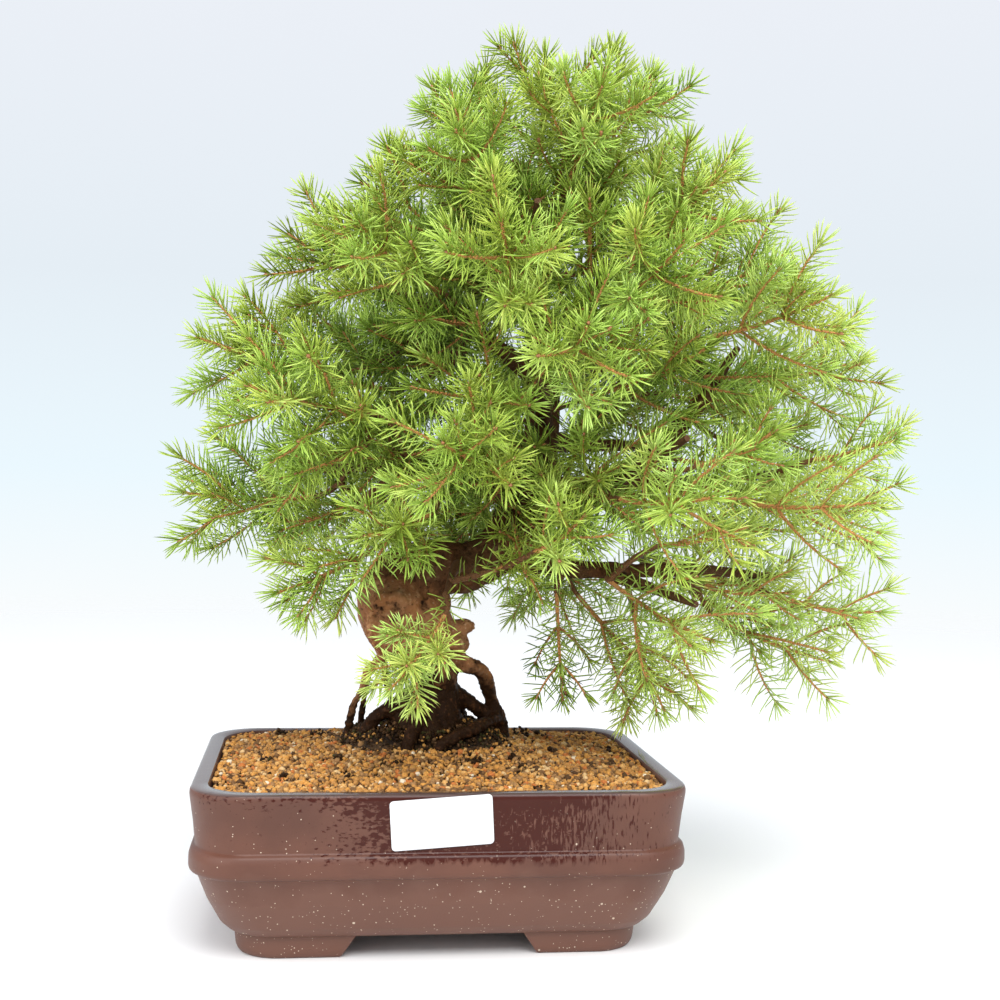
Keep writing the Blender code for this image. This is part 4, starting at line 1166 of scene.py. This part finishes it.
def needle_rows(path, length, spacing, tone, crown, draw):
    """Foot, direction, forward way, length and tone of every needle on a shoot."""
    points = np.array([point[:] for point, _ in path])
    radii = np.array([radius for _, radius in path])
    reach = np.concatenate(([0], np.cumsum(np.linalg.norm(np.diff(points, axis=0), axis=1))))
    count = max(int(reach[-1] / spacing), 6)
    share = np.concatenate((0.05 + 0.93 * (np.arange(count) + 0.5) / count, np.full(crown, 0.995)))
    at = share * reach[-1]
    foot = np.stack([np.interp(at, reach, points[:, axis]) for axis in range(3)], 1)
    ways = unit(np.gradient(points, axis=0))
    forward = unit(np.stack([np.interp(at, reach, ways[:, axis]) for axis in range(3)], 1))
    guide = np.eye(3)[np.abs(forward.mean(0)).argmin()]
    side = unit(np.cross(forward, guide))
    over = np.cross(forward, side)
    turn = np.arange(count + crown) * GOLDEN_TURN + draw.normal(0, 0.3, count + crown)
    outward = side * np.cos(turn)[:, None] + over * np.sin(turn)[:, None]
    # Degrees off the shoot: wide at its foot, and narrower at its tip and on its upper side.
    lean = 76 - 22 * share ** 2 - 8 * outward[:, 2] + draw.normal(0, 6, count + crown)
    lean[count:] = draw.uniform(8, 58, crown)
    lean = np.radians(lean)[:, None]
    direction = forward * np.cos(lean) + outward * np.sin(lean)
    direction[:, 2] += 0.08
    # Needles are longest at the middle of a shoot and shortest at its tip.
    full = 0.74 + 0.3 * np.sin(np.pi * (0.14 + 0.72 * share)) - 0.14 * share ** 3
    long = length * full * draw.normal(1, 0.06, count + crown)
    foot = foot + outward * np.interp(at, reach, radii)[:, None] * 0.6
    tones = tone + 0.1 * share + draw.normal(0, 0.12, count + crown)
    return foot, unit(direction), forward, long, tones


def needles_mesh(name, rows, width, draw):
    """All needles of a spray; each bows a little towards its shoot's tip."""
    foot, direction, forward, long, tones = (np.concatenate(parts) for parts in zip(*rows))
    side = unit(np.cross(direction, forward))
    over = np.cross(direction, side)
    wide = (width * draw.normal(1, 0.08, len(foot)))[:, None]
    bow = forward * draw.uniform(0.08, 0.3, len(foot))[:, None]
    bow[:, 2] += draw.normal(0.0, 0.05, len(foot))
    axes = np.stack((side * wide, over * wide, direction * long[:, None], bow * long[:, None]), 1)
    return copies(name, needle_template(), foot, axes, np.clip(tones, 0, 1))


def openness(place):
    """How thin the foliage is: the low side, and most of all its right half, lets light through."""
    right = min(1.0, max(0.0, (place.x - 60) / 110))
    low = min(1.0, max(0.0, (320 - place.z) / 110))
    return 1 + 0.2 * right + 0.2 * low + 0.45 * right * low


def plan_fill(busy, anchors, count):
    """Small sprays where the canopy has most room, each with the twig that carries it."""
    draw = random.Random(77)
    busy = [np.array(point[:]) for point in busy]
    made = []
    while len(made) < count:
        tips = [spare_place(draw) for _ in range(40)]
        rows = np.array([tip[:] for tip in tips])
        room = np.linalg.norm(rows[:, None] - np.array(busy)[None], axis=2).min(1)
        tip = tips[int(room.argmax())]
        sway = Vector([draw.uniform(-0.4, 0.4) for _ in range(3)])
        way = (way_out(tip) + sway).normalized()
        start = tip - way * FILL_LENGTH
        leader = leader_path(start, tip, 4)
        twig = twig_to(start, way, anchors, 6)
        made.append((leader, twig))
        anchors.append(leader)
        busy += [np.array(point[:]) for point, _ in leader[1:]]
    return made


def spare_place(draw):
    """A place in the canopy, clear of the bare room round the trunk."""
    while True:
        way = Vector([draw.gauss(0, 1) for _ in range(3)]).normalized()
        angle = math.degrees(math.atan2(way.z, way.x))
        surface = canopy_point(angle, math.degrees(math.asin(way.y)))
        low, high = FILL_DEPTHS
        place = Vector(CANOPY_CENTRE).lerp(surface, draw.uniform(low, high))
        if place.z > BARE_HEIGHT or not BARE_SIDES[0] < place.x < BARE_SIDES[1]:
            return place


def fill_paths(leader, number):
    """A small spray's shoots: two to its sides, one above and one below."""
    draw = random.Random(number + 900)
    along, flat, over = spray_axes(leader, number)
    made = []
    for index, place in enumerate((0.15, 0.36, 0.56, 0.74)):
        turn = index * math.pi + (math.pi / 2 if index > 1 else 0) + draw.uniform(-0.6, 0.6)
        outward = flat * math.cos(turn) + over * math.sin(turn)
        length = (34 - 14 * place) * draw.uniform(0.85, 1.15)
        made.append(shoot(at_place(leader, place), along, outward, draw.uniform(44, 58), length,
                          (0.75, 0.5)))
    return made


def grow_tree(foliage):
    """Twigs and shoots of the whole tree: twigs, then (number, leader, shoots) of each spray."""
    coarse = [smooth_path(limb, 2) for limb in LIMBS]
    anchors = [[row for row in smooth_path(TRUNK, 2) if row[0].z > TWIG_LOWEST]] + coarse
    twigs, sprays = [], []
    for number, (start, tip, length) in enumerate(plan_sprays(), 1):
        way = leader_path(start, tip, 4)[1][0] - start
        twigs.append(twig_to(start, way.normalized(), anchors, 7))
        leader = leader_path(start, tip)
        sides = side_paths(leader, number, length)
        shoots = SPRAY_HABITS.get(number, PLAIN_SPRAY)[3] * (openness(tip) < 1.5)
        extra = extra_paths(leader, sides, number, round(foliage.extra_shoots * shoots))
        sprays.append((number, leader, sides + extra))
    busy = [path[-1][0] for _, leader, shoots in sprays for path in [leader] + shoots]
    anchors += twigs + [leader for number, leader, _ in sprays if number not in SPRAY_HABITS]
    fill = plan_fill(busy, anchors, foliage.fill_sprays)
    for number, (leader, twig) in enumerate(fill, FIRST_FILL):
        twigs.append(twig)
        sprays.append((number, leader, fill_paths(leader, number)))
    return twigs, sprays


def spray_tone(number, leader):
    """A spray's tone: lighter on the outside and darker deep in the canopy, partly fresh growth and partly
    painted shade; lighter to the right as painted light; and lighter low down.
    """
    middle = leader[len(leader) // 2][0]
    out = (leader[-1][0] - Vector(CANOPY_CENTRE)).length / 190
    lively = SPRAY_HABITS.get(number, PLAIN_SPRAY)[0]
    # Painted light and shade: outer sprays lighter, inner ones darker, and the right side lighter.
    return 0.46 + lively + 0.001 * (middle.x - 60) - 0.0003 * (middle.z - 300) + 0.35 * (out - 0.9)


def make_needles(name, rows, width, draw, material, nodes=()):
    mesh = needles_mesh(name, rows, width, draw)
    finish(new_object(name, mesh), material, nodes, smooth_angle=180)


def make_sprays(foliage, wood):
    """Needles for each spray, and the shoots and buds that carry them."""
    green = needle_finish(foliage)
    rods_made, buds, loose = [], [], []
    long, width = foliage.needle_length / MM, foliage.needle_width / MM
    spacing = foliage.needle_spacing / MM
    twigs, sprays = grow_tree(foliage)
    for (number, leader, shoots), twig in zip(sprays, twigs):
        draw = np.random.default_rng(number)
        _, sparse, longer, _ = SPRAY_HABITS.get(number, PLAIN_SPRAY)
        tone = spray_tone(number, leader)
        rows = []
        for path in [leader] + shoots:
            own = tone + draw.uniform(-0.15, 0.15)
            thin = spacing * sparse * openness(path[-1][0])
            rows.append(needle_rows(path, long * longer, thin, own, NEEDLES_AT_TIP, draw))
            ahead = way_of(path[-2:])
            buds.append((path[-1][0] + ahead * 0.8, ahead))
        # The needles along the twig are darker: painted shade deep in the canopy.
        rows.append(needle_rows(twig, long * 0.85, spacing * 2.3, tone - 0.25, 0, draw))
        rods_made += [leader] + shoots
        if number < FIRST_FILL:
            name = f"{number:02d}"
            make_needles("needles_" + name, rows, width, draw, green, ["spray_" + name])
        else:
            loose += rows
    draw = np.random.default_rng(99)
    for part, first in enumerate(range(0, len(loose), FILL_SHARE), 1):
        make_needles(f"needles_between_{part}", loose[first:first + FILL_SHARE], width, draw, green)
    mesh = rods("shoots", rods_made, 0)
    set_tone(mesh, 0.9)
    finish(new_object("shoots", mesh), twig_finish(wood), smooth_angle=60)
    make_buds(buds, wood)


def make_buds(buds, wood):
    draw = np.random.default_rng(5)
    bm = bmesh.new()
    bmesh.ops.create_icosphere(bm, subdivisions=1, radius=1)
    shape = template(bm)
    origins = np.array([place[:] for place, _ in buds])
    ahead = np.array([way[:] for _, way in buds])
    side = unit(np.cross(ahead, draw.normal(size=ahead.shape)))
    size = draw.uniform(0.85, 1.25, (len(buds), 1))
    axes = np.stack((side * size, np.cross(ahead, side) * size, ahead * size * 1.9), 1)
    mesh = copies("buds", shape, origins, axes, draw.uniform(size=len(buds)))
    finish(new_object("buds", mesh), bud_finish(wood), smooth_angle=180)


def twig_to(start, direction, limbs, steps):
    """The twig that carries a spray: it leaves the nearest limb that lies behind the spray."""
    best, shortest = None, math.inf
    for limb in limbs:
        for point, radius in limb:
            behind = start - point
            if behind.length < radius + TWIG_CLEARANCE:
                continue
            detour = behind.length * (TWIG_DETOUR - behind.normalized().dot(direction))
            if detour < shortest:
                best, shortest = point, detour
    knee = start - direction * (start - best).length * TWIG_KNEE
    wide, narrow = TWIG_RADIUS
    return bent_path(best, knee, start, (wide, narrow), steps)


def make_branches(wood, foliage):
    """Limbs out of the trunk, and the twigs that carry the sprays."""
    twigs, _ = grow_tree(foliage)
    limbs = [thin for _, thin in map(limb_parts, LIMBS)]
    parts = []
    for paths, tone, resolution in ((limbs, 0.1, 2), (twigs, 0.22, 1)):
        parts.append(rods("branches", paths, resolution))
        set_tone(parts[-1], tone)
    finish(join_meshes("branches", parts), twig_finish(wood), smooth_angle=60)


def make_floor(stage):
    """A pale floor that fades into the light round it."""
    floor = Finish("pale_floor", 0.75)
    floor.shader.inputs["Base Color"].default_value = (*stage.floor, 1)
    far = floor.add("VectorMath", {0: floor.place}, operation="LENGTH").outputs["Value"]
    clear = floor.add("BsdfTransparent", {})
    reach = stage.floor_radius / MM
    blend = floor.add("MixShader", {0: floor.span(far, reach * 0.3, reach * 0.9),
                                    1: floor.shader.outputs[0], 2: clear.outputs[0]})
    floor.put(blend.outputs[0], floor.nodes["Material Output"].inputs["Surface"])
    bm = bmesh.new()
    bmesh.ops.create_circle(bm, cap_ends=True, segments=96, radius=stage.floor_radius)
    disc = as_mesh("floor", bm)
    disc.materials.append(floor.material)
    new_object("floor", disc)


def light_room(stage):
    """Light from all round, pale blue at the horizon, with a soft main lamp and a weaker one."""
    world = bpy.data.worlds.new("room")
    bpy.context.scene.world = world
    world.use_nodes = True
    room = NodeTree(world.node_tree)
    way = room.add("TexCoord", {}).outputs["Generated"]
    rise = room.span(room.add("SeparateXYZ", {0: way}).outputs["Z"], -0.12, 0.34)
    pale = [(low + high) / 2 - 0.05 for low, high in zip(stage.horizon, stage.zenith)]
    sky = room.ramp(rise, ((0.08, stage.low), (0.28, stage.horizon), (0.56, pale), (1, stage.zenith)))
    room.put(sky, room.nodes["Background"].inputs["Color"])
    for name, place, strength, size in LAMPS:
        lamp = bpy.data.lights.new(name, "AREA")
        lamp.energy = stage.key_power * strength
        lamp.size = size
        made = new_object(name, lamp)
        made.location = POT_CENTRE + Vector(place)
        aim = Vector((0, 0, 0.25)) + POT_CENTRE - made.location
        made.rotation_euler = aim.to_track_quat("-Z", "Y").to_euler()
    bpy.context.scene.view_settings.view_transform = "Standard"


def set_camera():
    """The camera stands where the view of the pot and the label puts it."""
    yaw, pitch, roll = CAMERA_TURN
    turned = Matrix.Rotation(yaw, 3, "Z")
    ahead = turned @ Vector((0, math.cos(pitch), math.sin(pitch)))
    right = turned @ Vector((1, 0, 0))
    above = right.cross(ahead)
    right, above = (right * math.cos(roll) + above * math.sin(roll),
                    above * math.cos(roll) - right * math.sin(roll))
    lens = bpy.data.cameras.new("camera")
    lens.lens = 52.97
    lens.sensor_width = 36
    lens.clip_start = 0.01
    made = new_object("camera", lens)
    turn = Matrix((right, above, -ahead)).transposed().to_4x4()
    made.matrix_world = Matrix.Translation(TO_FRAME @ Vector(CAMERA_PLACE)) @ turn
    bpy.context.scene.camera = made


class BONSAI_OT_pot(bpy.types.Operator):
    """Make the clay pot with its belt, feet and drain holes"""
    bl_idname = "bonsai.pot"
    bl_label = "Clay pot"

    def execute(self, context):
        make_pot(context.scene.bonsai_pot)
        return {"FINISHED"}


class BONSAI_OT_label(bpy.types.Operator):
    """Make the blank card on the pot's front"""
    bl_idname = "bonsai.label"
    bl_label = "Label card"

    def execute(self, context):
        make_label()
        return {"FINISHED"}


class BONSAI_OT_soil(bpy.types.Operator):
    """Make the soil bed, its grit and the dark crumbs"""
    bl_idname = "bonsai.soil"
    bl_label = "Soil and grit"

    def execute(self, context):
        make_soil_bed(context.scene.bonsai_soil)
        make_grit(context.scene.bonsai_soil)
        return {"FINISHED"}


class BONSAI_OT_trunk(bpy.types.Operator):
    """Make the trunk and roots with their bark"""
    bl_idname = "bonsai.trunk"
    bl_label = "Trunk and roots"

    def execute(self, context):
        make_trunk(context.scene.bonsai_wood)
        return {"FINISHED"}


class BONSAI_OT_branches(bpy.types.Operator):
    """Make the limbs and the twigs that carry the sprays"""
    bl_idname = "bonsai.branches"
    bl_label = "Branches"

    def execute(self, context):
        make_branches(context.scene.bonsai_wood, context.scene.bonsai_foliage)
        return {"FINISHED"}


class BONSAI_OT_sprays(bpy.types.Operator):
    """Make the sprays with their shoots, needles and buds"""
    bl_idname = "bonsai.sprays"
    bl_label = "Sprays of needles"

    def execute(self, context):
        make_sprays(context.scene.bonsai_foliage, context.scene.bonsai_wood)
        return {"FINISHED"}


class BONSAI_OT_stage(bpy.types.Operator):
    """Make the pale floor, the lights and the camera"""
    bl_idname = "bonsai.stage"
    bl_label = "Floor, lights and camera"

    def execute(self, context):
        make_floor(context.scene.bonsai_stage)
        light_room(context.scene.bonsai_stage)
        set_camera()
        return {"FINISHED"}


class BONSAI_PT_panel(bpy.types.Panel):
    """Lists the pieces in the order in which they are made"""
    bl_label = "Spruce bonsai"
    bl_space_type = "VIEW_3D"
    bl_region_type = "UI"
    bl_category = "Bonsai"

    def draw(self, context):
        for operator in OPERATORS:
            self.layout.operator(operator.bl_idname)
        for group in SETTINGS:
            box = self.layout.box()
            for name in SETTINGS[group].__annotations__:
                box.prop(getattr(context.scene, group), name)


SETTINGS = {
    "bonsai_foliage": FoliageSettings,
    "bonsai_wood": WoodSettings,
    "bonsai_pot": PotSettings,
    "bonsai_soil": SoilSettings,
    "bonsai_stage": StageSettings,
}
OPERATORS = (
    BONSAI_OT_pot, BONSAI_OT_label, BONSAI_OT_soil, BONSAI_OT_trunk, BONSAI_OT_branches,
    BONSAI_OT_sprays, BONSAI_OT_stage,
)


def register():
    for made in (*SETTINGS.values(), *OPERATORS, BONSAI_PT_panel):
        bpy.utils.register_class(made)
    for group, settings in SETTINGS.items():
        setattr(bpy.types.Scene, group, PointerProperty(type=settings))


def unregister():
    for group in SETTINGS:
        delattr(bpy.types.Scene, group)
    for made in reversed((*SETTINGS.values(), *OPERATORS, BONSAI_PT_panel)):
        bpy.utils.unregister_class(made)


def main():
    register()
    bpy.ops.bonsai.pot()
    bpy.ops.bonsai.label()
    bpy.ops.bonsai.soil()
    bpy.ops.bonsai.trunk()
    bpy.ops.bonsai.branches()
    bpy.ops.bonsai.sprays()
    bpy.ops.bonsai.stage()


if __name__ == "__main__":
    main()
